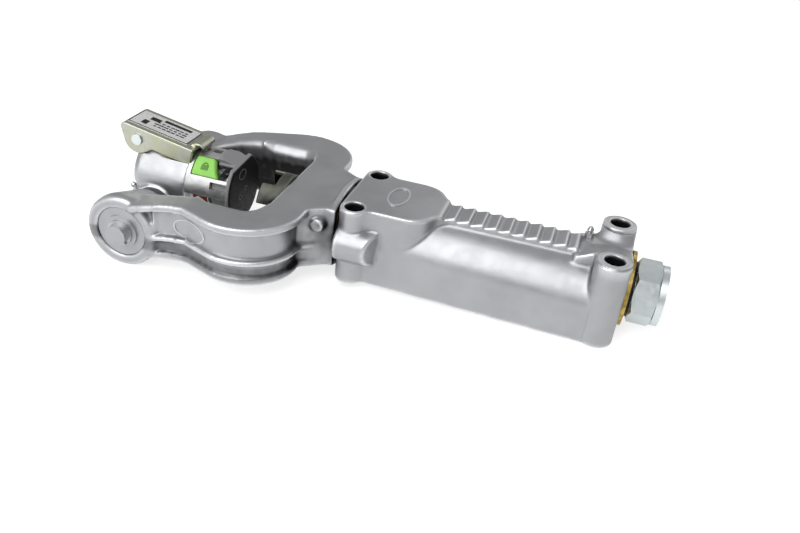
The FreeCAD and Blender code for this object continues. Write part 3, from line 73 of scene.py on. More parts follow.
# Places and sizes on the object, in metres.
SWIVEL_Z = 14.3 * MM
YOKE_HALF_HEIGHT = 28.5 * MM
MOUTH_START, MOUTH_END = 62.0 * MM, 128.0 * MM
MOUTH_HALF_WIDTH = 65.0 * MM
MOUTH_CORNER_X, MOUTH_CORNER_Y, MOUTH_CORNER_RADIUS = 107.2 * MM, 48.0 * MM, 17.0 * MM
BOLT_HOLES_X, BOLT_HOLE_Y = (195.7 * MM, 415.7 * MM), 35.0 * MM
REAR_DECK_Z, REAR_BOSS_Z = 45.3 * MM, 56.1 * MM
NUT_SEAT = (434.0 * MM, 437.5 * MM)
CAP_RIM_X = 75.6 * MM
ARM_BOSS_RADIUS = 33.5 * MM
BODY_HEEL = Vector((430.7 * MM, 0.0, -21.3 * MM))

# Places and sizes of the small trim, in millimetres, and its angles.
LEVER_PIVOT_X, LEVER_PIVOT_Z = -21.6, 58.0
LEVER_TILT = math.radians(10.7)
LEVER_MOUTH = 61.0
LABEL_TOP = 11.8
BARREL_Z, BARREL_RADIUS = 23.3, 31.5
TAB_X, TAB_TURN = 47.2, math.radians(49.0)
CAP_FACE_X = 76.2
ARM_OVAL_X, ARM_OVAL_Z, BESIDE_ARM_Y = 68.4, 18.8, -140.0
PLATE_OVAL_X, PLATE_OVAL_Y, ABOVE_PLATE_Z = 224.8, 0.5, 90.0

# How the skins are laid and how their marks are found: the edge mark for rubbed edges with a painted
# highlight, the hollow mark for painted shade.
WELD = 0.001 * MM
BODY_CELL_SHARE, HEAD_CELL_SHARE, SHAFT_CELL = 1.04, 0.8, 1.0 * MM
SHAFT_ROUNDS, TAB_ROUNDS_SHARE = 3, 3
CAST_RAYS, SHAFT_RAYS = 7, 3
SHAFT_TURN = math.radians(-36.0)
SOFTENING = 0.5
EDGE_GAIN = 6.0
SHADE_SEED = 7
SHADE_REACH, SHADE_LIFT, SHADE_SPREAD = 70 * MM, 2.0 * MM, 0.98

# Looks that several finishes share.
# Ranges of the edge and hollow marks: edges lighter, rubbed and with a painted highlight; creases darker;
# deep hollows in painted shade.
WORN_AND_HIGHLIT_EDGE, CREASE_DARKENING, PAINTED_SHADE_RANGE = (0.12, 0.6), (-0.8, -0.1), (0.14, 0.62)
DEEP_SHADE = 0.1
WARM_ZINC = (0.99, 0.97, 0.80)
# Black painted as shade into the gap beside the nut.
SEAT_PAINTED_SHADE = (0.02, 0.02, 0.022)
# Grey for the cap in front of its rim.
CAP_FRONT_GREY = (0.26, 0.26, 0.27)
PLASTIC_SPECULAR = 0.22

# The plain bars on the label: size of one, and the least and most that it is stretched.
WORD_SIZE = (3.5 * MM, 1.9 * MM, 0.16 * MM)
WORD_STRETCH = (0.6, 0.9, 1.0), (1.35, 1.0, 1.0)

# The stage. Each lamp has its name, place, aim, width and height, and the setting of its power.
WHITE = (1.0, 1.0, 1.0, 1.0)
FLOOR_GREY = (0.72, 0.72, 0.72, 1.0)
FLOOR_GLOW, FLOOR_IN_METAL = 0.66, 0.36
LAMPS = (
    ("key", (-0.25, -1.02, 1.34), (0.2, 0.0, 0.0), (1.8, 2.0), "key_power"),
    ("rim", (0.6, 1.2, 0.9), (0.2, 0.0, 0.0), (1.2, 0.5), "rim_power"),
    ("low", (-0.75, -1.25, 0.32), (0.03, 0.0, 0.02), (0.9, 0.5), "low_power"),
)
CAMERA_PLACE = Vector((0.3800, -0.6255, 0.3690))
CAMERA_RIGHT = Vector((0.9521, 0.2877, 0.1039))
CAMERA_UP = Vector((-0.2355, 0.4725, 0.8493))


def shade(colour, factor):
    """The colour made that many times as light, up to white."""
    return tuple(min(1.0, factor * channel) for channel in colour)


class Finish:
    """A procedural material on Object coordinates: colour patches, grain, wear and roughness."""

    def __init__(self, name, colour, metallic, roughness):
        self.material = bpy.data.materials.new(name)
        self.material.use_nodes = True
        self.tree = self.material.node_tree
        self.tree.nodes.clear()
        self.colour = tuple(colour)
        self.roughness = roughness
        self.shader = self.node("ShaderNodeBsdfPrincipled", "Surface")
        self.shader.inputs["Base Color"].default_value = self.colour + (1.0,)
        self.shader.inputs["Metallic"].default_value = metallic
        self.shader.inputs["Roughness"].default_value = roughness
        output = self.node("ShaderNodeOutputMaterial", "Output")
        self.link(self.shader.outputs["BSDF"], output.inputs["Surface"])
        self.place = self.node("ShaderNodeTexCoord", "Place on the piece")
        self.normal = None

    def node(self, kind, label):
        made = self.tree.nodes.new(kind)
        made.label = label
        return made

    def link(self, start, end):
        self.tree.links.new(start, end)

    def noise(self, label, size, detail=3.0):
        """Noise whose features are about size metres across."""
        texture = self.node("ShaderNodeTexNoise", label)
        texture.inputs["Scale"].default_value = 0.6 / size
        texture.inputs["Detail"].default_value = detail
        self.link(self.place.outputs["Object"], texture.inputs["Vector"])
        return texture.outputs["Fac"]

    def along(self):
        """How far along x a place is, in metres."""
        split = self.node("ShaderNodeSeparateXYZ", "Along the piece")
        self.link(self.place.outputs["Object"], split.inputs["Vector"])
        return split.outputs["X"]

    def mark(self, name):
        """The value that a skin stores on its points under that name."""
        attribute = self.node("ShaderNodeAttribute", name.capitalize())
        attribute.attribute_name = name
        return attribute.outputs["Fac"]

    def span(self, label, value, low, high, useful=(0.3, 0.7)):
        """Value mapped from its useful range to low..high."""
        mapped = self.node("ShaderNodeMapRange", label)
        mapped.inputs["From Min"].default_value = useful[0]
        mapped.inputs["From Max"].default_value = useful[1]
        mapped.inputs["To Min"].default_value = low
        mapped.inputs["To Max"].default_value = high
        self.link(value, mapped.inputs["Value"])
        return mapped.outputs["Result"]

    def blend(self, label, share, first, second):
        """Mix of two colours or sockets by a socket's share."""
        mix = self.node("ShaderNodeMix", label)
        mix.data_type = "RGBA"
        self.link(share, mix.inputs[0])
        for value, socket in ((first, mix.inputs[6]), (second, mix.inputs[7])):
            if isinstance(value, tuple):
                socket.default_value = value + (1.0,)
            else:
                self.link(value, socket)
        return mix.outputs[2]

    def patches(self, size, low, high):
        """Base colour that drifts between low and high times the colour over patches of that size."""
        share = self.span("Patch strength", self.noise("Patches", size), 0.0, 1.0)
        return self.blend("Patch colour", share, shade(self.colour, low), shade(self.colour, high))

    def wear_highlight_and_shade(self, colour, light, dark):
        """Lighter on edges, rubbed and with a painted highlight, darker in creases, and painted shade in
        deep hollows, from the marks on the skin's points.
        """
        edge = self.mark("edge")
        raised = self.span("Worn edge and painted highlight", edge, 0.0, 1.0, WORN_AND_HIGHLIT_EDGE)
        # Darker where the skin is hollowed in, along creases.
        sunk = self.span("Darker in creases", edge, 1.0, 0.0, CREASE_DARKENING)
        with_wear_and_painted_light = self.blend("Edge colour", raised, colour, light)
        toned = self.blend("Hollow colour", sunk, with_wear_and_painted_light, dark)
        depth = self.span("Depth of the painted shade", self.mark("hollow"), 0.0, 1.0, PAINTED_SHADE_RANGE)
        return self.blend("Painted shade colour", depth, toned, shade(dark, DEEP_SHADE))

    def band(self, colour, ends, dark):
        """Dark where x is between the two ends."""
        along = self.along()
        near = self.node("ShaderNodeMath", "Within the band")
        near.operation = "COMPARE"
        near.inputs[1].default_value = sum(ends) / 2
        near.inputs[2].default_value = (ends[1] - ends[0]) / 2
        self.link(along, near.inputs[0])
        return self.blend("Band colour", near.outputs[0], colour, dark)

    def grain(self, label, size, depth, strength=0.5):
        """Bumps of that size and depth in metres, on top of those made before."""
        height = self.noise(label, size, 2.0)
        bump = self.node("ShaderNodeBump", label)
        bump.inputs["Strength"].default_value = strength
        bump.inputs["Distance"].default_value = depth
        self.link(height, bump.inputs["Height"])
        if self.normal is not None:
            self.link(self.normal, bump.inputs["Normal"])
        self.normal = bump.outputs["Normal"]

    def finish(self, colour, size, smoother, rougher):
        """Links colour, bumps and a roughness that drifts over patches of that size to the surface."""
        self.link(colour, self.shader.inputs["Base Color"])
        rough = self.span("Roughness drift", self.noise("Roughness", size), self.roughness - smoother,
                          self.roughness + rougher)
        self.link(rough, self.shader.inputs["Roughness"])
        self.link(self.normal, self.shader.inputs["Normal"])
        return self.material


def cast_finish(name, colour, metallic=0.8, roughness=0.36):
    """Satin silver coat on a shot-blasted casting."""
    coat = Finish(name, colour, metallic, roughness)
    # Edges lighter, rubbed and with a painted highlight; creases darker; painted shade in deep hollows.
    tone = coat.wear_highlight_and_shade(coat.patches(18 * MM, 0.93, 1.07), light=shade(colour, 1.7), dark=shade(colour, 0.62))
    coat.grain("Cast skin", 3.2 * MM, 0.10 * MM)
    coat.grain("Sand grain", 0.55 * MM, 0.03 * MM)
    return coat.finish(tone, 6 * MM, smoother=0.05, rougher=0.07)


def plated_finish(name, colour, roughness, patch, low=0.9, high=1.08, shaded_seat=None, with_wear_and_painted_light=False):
    """Plated or turned metal with faint blotches and fine tool marks, and a given span of x painted black as
    shade.
    """
    plate = Finish(name, colour, 1.0, roughness)
    tone = plate.patches(patch, low, high)
    # Edges lighter, rubbed and with a painted highlight, and painted shade in hollows.
    if with_wear_and_painted_light:
        tone = plate.wear_highlight_and_shade(tone, light=shade(colour, 1.8), dark=shade(colour, 0.5))
    # A span of x painted black as shade.
    if shaded_seat is not None:
        tone = plate.band(tone, shaded_seat, SEAT_PAINTED_SHADE)
    plate.grain("Tool marks", 0.3 * MM, 0.008 * MM)
    return plate.finish(tone, 2.5 * MM, smoother=0.06, rougher=0.08)


def zinc_plate_finish(name, colour, roughness):
    """Pale passivated zinc on pressed sheet: greenish and yellowish clouds."""
    plate = Finish(name, colour, 1.0, roughness)
    warm = tuple(channel * share for channel, share in zip(colour, WARM_ZINC))
    clouds = plate.span("Cloud strength", plate.noise("Clouds", 9 * MM, 4.0), 0.0, 1.0, useful=(0.42, 0.66))
    tone = plate.blend("Clouded zinc", clouds, plate.patches(4 * MM, 0.92, 1.06), warm)
    plate.grain("Sheet grain", 0.5 * MM, 0.012 * MM)
    return plate.finish(tone, 3 * MM, smoother=0.06, rougher=0.1)


def plastic_finish(name, colour, roughness, spread=0.12, toned=None):
    """Moulded plastic with a fine spark-eroded grain, made grey in front of a given x."""
    moulded = Finish(name, colour, 0.0, roughness)
    moulded.shader.inputs["Specular IOR Level"].default_value = PLASTIC_SPECULAR
    tone = moulded.patches(7 * MM, 1 - spread, 1 + spread)
    # Grey in front of the given x.
    if toned is not None:
        share = moulded.span("Grey front share", moulded.along(), 1.0, 0.0, useful=(toned - 0.6 * MM, toned))
        tone = moulded.blend("Grey-fronted plastic", share, tone, CAP_FRONT_GREY)
    moulded.grain("Moulded grain", 0.4 * MM, 0.02 * MM)
    return moulded.finish(tone, 2 * MM, smoother=0.06, rougher=0.1)


def foil_finish(name, colour, roughness):
    """Silver foil with a speckled sparkle."""
    foil = Finish(name, colour, 0.15, roughness)
    speck = foil.span("Speckle strength", foil.noise("Speckle", 0.5 * MM, 1.0), 0.0, 1.0, useful=(0.45, 0.6))
    tone = foil.blend("Speckled foil", speck, shade(colour, 0.8), foil.patches(5 * MM, 0.9, 1.1))
    foil.grain("Foil wrinkle", 1.5 * MM, 0.01 * MM, strength=0.6)
    return foil.finish(tone, 1.2 * MM, smoother=0.05, rougher=0.15)


def colour_property(name, description, value):
    return FloatVectorProperty(name=name, description=description, default=value, subtype="COLOR",
                               size=3, min=0.0, max=1.0)


def cell_property(name, description, value):
    return FloatProperty(name=name, description=description, default=value, unit="LENGTH", precision=5)


def rounds_property(name, description, value):
    return IntProperty(name=name, description=description, default=value, min=0, max=40)


def power_property(name, description, value):
    return FloatProperty(name=name, description=description, default=value, unit="POWER")


class CouplingColours(bpy.types.PropertyGroup):
    """Colours of the metals and plastics."""

    casting: colour_property("Casting", "Satin silver coat of the castings", (0.475, 0.48, 0.495))
    barrel: colour_property("Turned barrel", "Brighter metal of the sleeve", (0.60, 0.60, 0.60))
    nut: colour_property("Nut", "Bright zinc of the nut and small fasteners", (0.80, 0.86, 0.87))
    washer: colour_property("Rear washer", "Yellow zinc of the rear washer", (0.52, 0.38, 0.11))
    shaft: colour_property("Shaft head", "Olive grey of the castellated shaft head", (0.12, 0.122, 0.105))
    lever: colour_property("Lever", "Pale passivated zinc of the lever", (0.56, 0.575, 0.49))
    tab: colour_property("Locked tab", "Bright green of the locked tab", (0.34, 0.74, 0.15))
    band: colour_property("Unlocked band", "Dark red of the band under the sleeve", (0.30, 0.008, 0.010))
    cap: colour_property("End cap", "Black of the moulded cap", (0.018, 0.018, 0.020))
    foil: colour_property("Label foil", "Silver of the lever's label", (0.80, 0.80, 0.80))


class CouplingSkins(bpy.types.PropertyGroup):
    """How the cast, pressed and moulded skins are softened."""

    casting_cell: cell_property("Casting cell", "Size of the even mesh on the castings", 1.25 * MM)
    casting_rounds: rounds_property("Casting rounds", "Softening rounds of the castings' edges", 7)
    cap_cell: cell_property("Cap cell", "Size of the even mesh on the cap and the tab", 0.5 * MM)
    cap_rounds: rounds_property("Cap rounds", "Softening rounds of the cap's edges", 5)
    lever_cell: cell_property("Lever cell", "Size of the even mesh on the lever", 0.6 * MM)
    lever_rounds: rounds_property("Lever rounds", "Softening rounds of the lever's bends", 5)


class CouplingStage(bpy.types.PropertyGroup):
    """Floor, lamps and camera."""

    floor_size: FloatProperty(name="Floor size", description="Width of the pale floor", default=6.0,
                              unit="LENGTH")
    fill: FloatProperty(name="Fill", description="Strength of the light from all round", default=0.35)
    room: FloatProperty(name="Room", description="How light the room looks in the metal", default=0.36)
    key_power: power_property("Key power", "Power of the large soft lamp", 24.0)
    rim_power: power_property("Rim power", "Power of the lamp behind", 1.5)
    low_power: power_property("Low power", "Power of the low lamp at the left", 2.4)
    lens: FloatProperty(name="Lens", description="Focal length of the camera in mm", default=36.58)


def settings(name):
    return getattr(bpy.context.scene, name)


def new_piece(name, mesh):
    piece = bpy.data.objects.new(name, mesh)
    bpy.context.scene.collection.objects.link(piece)
    return piece


def plain_mesh(piece):
    """Turns the evaluated piece into its own plain mesh and drops the modifiers."""
    depsgraph = bpy.context.evaluated_depsgraph_get()
    mesh = bpy.data.meshes.new_from_object(piece.evaluated_get(depsgraph))
    piece.modifiers.clear()
    piece.data = mesh
    return mesh


def dress(piece, material):
    piece.data.materials.clear()
    piece.data.materials.append(material)


class Links:
    """The edges of a mesh as pairs of points, for averages over neighbours."""

    def __init__(self, mesh):
        pairs = np.empty(len(mesh.edges) * 2, np.int64)
        mesh.edges.foreach_get("vertices", pairs)
        self.first, self.second = pairs.reshape(-1, 2).T
        self.count = len(mesh.vertices)
        self.share = np.maximum(self.total(1.0, 1.0), 1.0)

    def total(self, on_first, on_second):
        """Sum at every point of the values that its edges bring to their first and second points."""
        ones = np.ones(len(self.first))
        return (np.bincount(self.first, on_first * ones, self.count)
                + np.bincount(self.second, on_second * ones, self.count))

    def mean(self, values):
        """Average of each point's neighbours."""
        if values.ndim > 1:
            return np.stack([self.mean(column) for column in values.T], 1)
        return self.total(values[self.second], values[self.first]) / self.share

    def blur(self, values, rounds, share):
        """Draws each point's value by that share to its neighbours' average, that many times."""
        for _ in range(rounds):
            values = (1.0 - share) * values + share * self.mean(values)
        return values


def point_rows(mesh, what):
    """The places ("co") or directions ("normal") of the mesh's points, a row for each."""
    rows = np.empty(len(mesh.vertices) * 3, np.float64)
    mesh.vertices.foreach_get(what, rows)
    return rows.reshape(-1, 3)


def set_places(mesh, places):
    mesh.vertices.foreach_set("co", places.astype(np.float32).ravel())
    mesh.update()


def store(mesh, name, values):
    """Keeps a value for each point, which Finish.mark reads."""
    mark = mesh.attributes.new(name, "FLOAT", "POINT")
    mark.data.foreach_set("value", np.clip(values, -1.0, 1.0).astype(np.float32))


def mark_edges(mesh, links):
    """Stores on each point how much it stands out (above 0) or lies in a hollow (below 0)."""
    places, normals = point_rows(mesh, "co"), point_rows(mesh, "normal")
    gap = places[links.second] - places[links.first]
    length = np.maximum(np.linalg.norm(gap, axis=1), 1e-9)
    value = links.total(-(gap * normals[links.first]).sum(1) / length,
                        (gap * normals[links.second]).sum(1) / length) / links.share
    store(mesh, "edge", links.blur(value, rounds=2, share=0.5) * EDGE_GAIN)


@functools.cache
def cad_tree():
    """All CAD nodes as one tree for rays, made once."""
    corners, faces = [], []
    for node in NODES.values():
        first = len(corners)
        corners += [node.matrix_world @ corner.co for corner in node.data.vertices]
        faces += [[first + index for index in face.vertices] for face in node.data.polygons]
    return BVHTree.FromPolygons(corners, faces)


def mark_painted_shade(mesh, links, rays, extra_shade):
    """Stores on each point the share of the space in front of it that the object itself fills, to be painted
    in as shade.
    """
    places, normals = point_rows(mesh, "co"), point_rows(mesh, "normal")
    dice = np.random.default_rng(SHADE_SEED)
    tree = cad_tree()
    starts = places + normals * SHADE_LIFT
    filled = np.zeros(len(places))
    for _ in range(rays):
        scatter = dice.normal(size=places.shape)
        aims = normals + SHADE_SPREAD * (scatter / np.linalg.norm(scatter, axis=1, keepdims=True))
        for index, (start, aim) in enumerate(zip(starts.tolist(), aims.tolist())):
            _, face_normal, _, _ = tree.ray_cast(start, aim, SHADE_REACH)
            if face_normal is not None and face_normal.dot(aim) < 0:
                filled[index] += 1.0
    # The share of blocked rays, blurred and with any extra added, is what the finishes paint as shade.
    filled = links.blur(filled / rays, rounds=10, share=0.6)
    if extra_shade is not None:
        filled += extra_shade(places)
    store(mesh, "hollow", filled)


def merged_copy(mesh, cut):
    """A copy of a CAD mesh with its corners joined, and cut off beyond a plane if one is given."""
    copy = mesh.copy()
    work = bmesh.new()
    work.from_mesh(copy)
    bmesh.ops.remove_doubles(work, verts=work.verts, dist=WELD)
    if cut is not None:
        everything = work.verts[:] + work.edges[:] + work.faces[:]
        section = bmesh.ops.bisect_plane(work, geom=everything, plane_co=cut[0], plane_no=cut[1],
                                         clear_outer=True)["geom_cut"]
        rim = [item for item in section if isinstance(item, bmesh.types.BMEdge)]
        bmesh.ops.triangle_fill(work, edges=rim, use_beauty=True)
        bmesh.ops.recalc_face_normals(work, faces=work.faces)
    work.to_mesh(copy)
    work.free()
    return copy


def soft_skin(node, name, cell, rounds, finish=None, shape=None, cut=None, crisp=None, rays=0,
              extra_shade=None):
    """A copy of a CAD node with an even mesh and softened edges, standing for that node.

    It wears the node's own material, unless a finish is given. The crisp function says from 0 to 1
    where points hold still, and shape may move the finished points. The cut is a place and a
    direction: what lies beyond that plane is taken off and the opening is closed. With rays, the
    skin knows how deep its hollows are, for painted shade, and a given function adds more painted
    shade to that.
    """
    source = NODES[node]
    piece = new_piece(name, merged_copy(source.data, cut))
    even = piece.modifiers.new("Even skin", "REMESH")
    even.mode = "VOXEL"
    even.voxel_size = cell
    even.use_smooth_shade = True
    skin = plain_mesh(piece)
    places = point_rows(skin, "co")
    links = Links(skin)
    hold = 1.0 if crisp is None else 1.0 - crisp(places)[:, None]
    for _ in range(rounds):
        places = places + SOFTENING * hold * (links.mean(places) - places)
    if shape is not None:
        places = shape(places)
    set_places(skin, places)
    mark_edges(skin, links)
    if rays:
        mark_painted_shade(skin, links, rays, extra_shade)
    dress(piece, finish or source.material_slots[0].material)
    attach(piece, source["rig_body"])
    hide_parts(node)


class COUPLING_OT_finishes(bpy.types.Operator):
    """Give every CAD node the material of its slot"""

    bl_idname = "coupling.finishes"
    bl_label = "Finishes"

    def execute(self, context):
        colours = settings("coupling_colours")
        made = {
            "casting": cast_finish("Satin casting", colours.casting),
            "zinc_steel": plated_finish("Bright zinc", colours.nut, 0.34, patch=5 * MM, low=0.96, high=1.03,
                                        shaded_seat=NUT_SEAT),
            "pale_zinc": zinc_plate_finish("Pale zinc", colours.lever, 0.34),
            "yellow_zinc": plated_finish("Yellow zinc", colours.washer, 0.34, patch=4 * MM, low=0.5,
                                         high=1.35),
            "steel": plated_finish("Plain steel", (0.56, 0.56, 0.57), 0.32, patch=4 * MM),
            "shaft_olive": plated_finish("Olive shaft", colours.shaft, 0.48, patch=5 * MM, low=0.8, high=1.2,
                                         with_wear_and_painted_light=True),
            "light_metal": plated_finish("Bright sleeve", colours.barrel, 0.42, patch=6 * MM),
            "bronze": plated_finish("Greased bronze", (0.16, 0.14, 0.12), 0.36, patch=4 * MM),
            "dark_ring": plastic_finish("Locking ring", (0.03, 0.03, 0.032), 0.4),
            "black_plastic": plastic_finish("Black cap", colours.cap, 0.42, toned=CAP_RIM_X),
            "green_plastic": plastic_finish("Green tab", colours.tab, 0.42, spread=0.06),
            "red_plastic": plastic_finish("Red band", colours.band, 0.4, spread=0.1),
            "label_foil": foil_finish("Label foil", colours.foil, 0.33),
        }
        for part in frame["record"]["subparts"]:
            for slot in NODES[part["node"]].material_slots:
                slot.material = made[part["material_slot"]]
        return {"FINISHED"}


def smooth_step(value, start, end):
    """0 up to the start, 1 from the end on, and a soft rise between them."""
    share = np.clip((value - start) / (end - start), 0.0, 1.0)
    return share * share * (3.0 - 2.0 * share)


def round_yoke_mouth(places):
    """Rolls over the upper and lower inner edges of the yoke's hub, as its arms have them."""
    full, least, at_wall = 12.0 * MM, 0.3 * MM, 1.2 * MM
    run_in, wall_turn = 14.0 * MM, math.radians(75.0)
    x, y, z = places.T
    out = np.abs(y)
    past_x = np.maximum(x - MOUTH_CORNER_X, 0.0)
    past_y = out - MOUTH_CORNER_Y
    turn = np.arctan2(past_x, np.maximum(past_y, 1e-6))
    along = np.stack([np.sin(turn), np.cos(turn) * np.sign(y), 0 * turn], 1)
    reach = np.hypot(past_x, np.maximum(past_y, 0.0))
    depth = np.where(x < MOUTH_CORNER_X, out - MOUTH_HALF_WIDTH, reach - MOUTH_CORNER_RADIUS)
    start = np.clip((x - MOUTH_START) / run_in, 0.0, 1.0)
    rounding = (full * start + least) * (1.0 - smooth_step(turn, 0.0, wall_turn)) + at_wall
    rise = np.abs(z - SWIVEL_Z) - (YOKE_HALF_HEIGHT - rounding)
    drawn = rounding - depth
    span = np.hypot(drawn, rise)
    inside = (x > MOUTH_START) & (x < MOUTH_END) & (out > MOUTH_CORNER_Y)
    inside &= (drawn > 0) & (rise > 0) & (span > rounding) & (depth > -MM)
    pull = np.where(inside, rounding / np.maximum(span, 1e-9), 1.0)
    moved = places + along * (drawn * (1.0 - pull))[:, None]
    moved[:, 2] -= np.sign(z - SWIVEL_Z) * rise * (1.0 - pull)
    return np.where(inside[:, None], moved, places)


def blend_rear_bosses(places):
    """Runs the rear deck up to its two bosses: flush with the near one, a hollow round the far one."""
    boss_edge, ramp_drop, ramp_slope = 12.0 * MM, 0.4 * MM, 0.32
    cove_start, cove_inside, cove_outside, cove_rise = 15.0 * MM, 13.0 * MM, 30.0 * MM, 8.0 * MM
    hole_edge, deck_heights, deck_run = 11.0 * MM, (41.5 * MM, 44.5 * MM), (378.0 * MM, 404.0 * MM)
    x, y, z = places.T
    near = np.hypot(x - BOLT_HOLES_X[1], y + BOLT_HOLE_Y)
    far = np.hypot(x - BOLT_HOLES_X[1], y - BOLT_HOLE_Y)
    ramp = REAR_BOSS_Z - ramp_drop - ramp_slope * np.maximum(near - boss_edge, 0.0)
    cove = REAR_DECK_Z + cove_rise * (1.0 - smooth_step(far, cove_inside, cove_outside)) ** 2
    cove = np.where(far > cove_start, cove, 0.0)
    wanted = np.minimum(np.maximum(ramp, cove), REAR_BOSS_Z)
    on_deck = smooth_step(z, *deck_heights) * smooth_step(x, *deck_run)
    on_deck = on_deck * (near > hole_edge) * (far > hole_edge)
    moved = places.copy()
    moved[:, 2] = z + on_deck * np.maximum(wanted - z, 0.0)
    return moved


def yoke_painted_shade(places):
    """How much more painted shade lies in the yoke's lower channel and on the walls of its mouth."""
    in_channel, in_mouth = 0.32, 0.24
    channel_foot, channel_top = (-15.0 * MM, -9.0 * MM), (-1.0 * MM, 4.0 * MM)
    channel_side, mouth_side = (40.0 * MM, 60.0 * MM), (65.5 * MM, 68.0 * MM)
    mouth_front, mouth_back = (45.0 * MM, 65.0 * MM), (125.0 * MM, 127.0 * MM)
    mouth_height = (6.0 * MM, 22.0 * MM)
    x, y, z = places.T
    out = np.abs(y)
    band = smooth_step(z, *channel_foot) * (1.0 - smooth_step(z, *channel_top))
    channel = in_channel * band * smooth_step(out, *channel_side)
    mouth = (1.0 - smooth_step(out, *mouth_side)) * (1.0 - smooth_step(x, *mouth_back))
    mouth = mouth * smooth_step(x, *mouth_front)
    middle = 1.0 - smooth_step(np.abs(z - SWIVEL_Z), *mouth_height)
    return channel + in_mouth * mouth * middle


def turn_dogs(places):
    """The shaft's dogs as the photograph shows them, a part turn round the swivel axis."""
    turn = np.array(Matrix.Rotation(SHAFT_TURN, 3, "X"))
    axis = np.array((0.0, 0.0, SWIVEL_Z))
    return (places - axis) @ turn.T + axis


def near_bolt_holes(places):
    """Highest beside the drilled bolt holes, whose mouths stay sharp, and 0 a few millimetres away."""
    most, hole_edge, fade = 0.85, 10.5 * MM, 2.5 * MM
    x, y, _ = places.T
    sharp = np.zeros(len(places))
    for hole in BOLT_HOLES_X:
        reach = np.hypot(x - hole, np.abs(y) - BOLT_HOLE_Y)
        sharp = np.maximum(sharp, 1.0 - np.clip((reach - hole_edge) / fade, 0.0, 1.0))
    return most * sharp


class COUPLING_OT_castings(bpy.types.Operator):
    """Lay soft skins on the body, the yoke, the latch head and the swivel shaft"""

    bl_idname = "coupling.castings"
    bl_label = "Castings"

    def execute(self, context):
        skins = settings("coupling_skins")
        cell, rounds = skins.casting_cell, skins.casting_rounds
        head_colour = shade(settings("coupling_colours").casting, 1.1)
        # Body, yoke and shaft store their hollows for painted shade; the yoke gets more painted shade in its
        # channel and mouth.
        soft_skin("body_casting", "cast_body", BODY_CELL_SHARE * cell, rounds,
                  shape=blend_rear_bosses, crisp=near_bolt_holes, rays=CAST_RAYS)
        soft_skin("yoke_casting", "cast_yoke", cell, rounds,
                  shape=round_yoke_mouth, rays=CAST_RAYS, extra_shade=yoke_painted_shade)
        soft_skin("head_casting", "cast_head", HEAD_CELL_SHARE * cell, rounds,
                  finish=cast_finish("Satin head", head_colour, metallic=0.85))
        soft_skin("swivel_shaft", "turned_shaft", SHAFT_CELL, SHAFT_ROUNDS,
                  shape=turn_dogs, rays=SHAFT_RAYS)
        return {"FINISHED"}


def lever_point(along, across, rise):
    """A place on the lever in millimetres from its pivot, as a place in the frame."""
    return Vector((LEVER_PIVOT_X + along * math.cos(LEVER_TILT) + rise * math.sin(LEVER_TILT), across,
                   LEVER_PIVOT_Z - along * math.sin(LEVER_TILT) + rise * math.cos(LEVER_TILT))) * MM


def label_point(along, across, height):
    """A place on the lever's label in millimetres, raised by the height."""
    return lever_point(along, across, LABEL_TOP + height)


def barrel_point(along, round_it, height):
    """A place on the barrel: along its axis, round the near side from its middle, and outwards, in mm."""
    turn = TAB_TURN + round_it / BARREL_RADIUS
    reach = BARREL_RADIUS + height
    return Vector((TAB_X + along, -reach * math.cos(turn), BARREL_Z + reach * math.sin(turn))) * MM


def face_point(across, up, height):
    """A place on the end cap's face, seen from behind, in mm from the barrel's axis."""
    return Vector((CAP_FACE_X + height, across, BARREL_Z + up)) * MM


def dropped_point(start, aim, height):
    """Where a ray from a place in millimetres meets the object, raised by the height."""
    spot, side, _, _ = cad_tree().ray_cast(Vector(start) * MM, Vector(aim))
    return spot + side * height * MM


def arm_point(along, up, height):
    """A place on the near arm's web, in mm from the middle of its oval."""
    return dropped_point((ARM_OVAL_X + along, BESIDE_ARM_Y, ARM_OVAL_Z + up), (0.0, 1.0, 0.0), height)


def plate_point(along, across, height):
    """A place on the body's top plate, in mm from the middle of its oval."""
    start = (PLATE_OVAL_X + along, PLATE_OVAL_Y + across, ABOVE_PLATE_Z)
    return dropped_point(start, (0.0, 0.0, -1.0), height)


def slab(quads, place, low, high):
    """Closed thin relief from flat quads (u, v): each becomes a top, a bottom and its open sides."""
    mesh = bpy.data.meshes.new("relief")
    work = bmesh.new()
    corners = {}

    def corner(point, height):
        key = (round(point[0], 4), round(point[1], 4), height)
        if key not in corners:
            corners[key] = work.verts.new(place(point[0], point[1], height))
        return corners[key]

    sides = {}
    for quad in quads:
        for index in range(4):
            edge = (quad[index], quad[(index + 1) % 4])
            key = tuple(sorted((round(u, 4), round(v, 4)) for u, v in edge))
            sides.setdefault(key, []).append(edge)
        work.faces.new([corner(point, high) for point in quad])
        work.faces.new([corner(point, low) for point in reversed(quad)])
    for edges in sides.values():
        if len(edges) == 1:
            (start, end), = edges
            work.faces.new([corner(start, low), corner(end, low), corner(end, high), corner(start, high)])
    bmesh.ops.recalc_face_normals(work, faces=work.faces)
    work.to_mesh(mesh)
    work.free()
    return mesh


def bar(left, low, right, high, cells=1):
    """A rectangle as a row of quads."""
    steps = [left + (right - left) * step / cells for step in range(cells + 1)]
    return [((a, low), (b, low), (b, high), (a, high)) for a, b in zip(steps, steps[1:])]


def hoop(outer, inner, centre=(0.0, 0.0), end=360.0, cells=24, squash=1.0):
    """A ring as quads, from 0 degrees to its end; squash stretches or flattens it across."""
    turns = [math.radians(end * step / cells) for step in range(cells + 1)]

    def point(reach, turn):
        return (centre[0] + reach * math.cos(turn), centre[1] + squash * reach * math.sin(turn))

    return [(point(inner, a), point(outer, a), point(outer, b), point(inner, b))
            for a, b in zip(turns, turns[1:])]


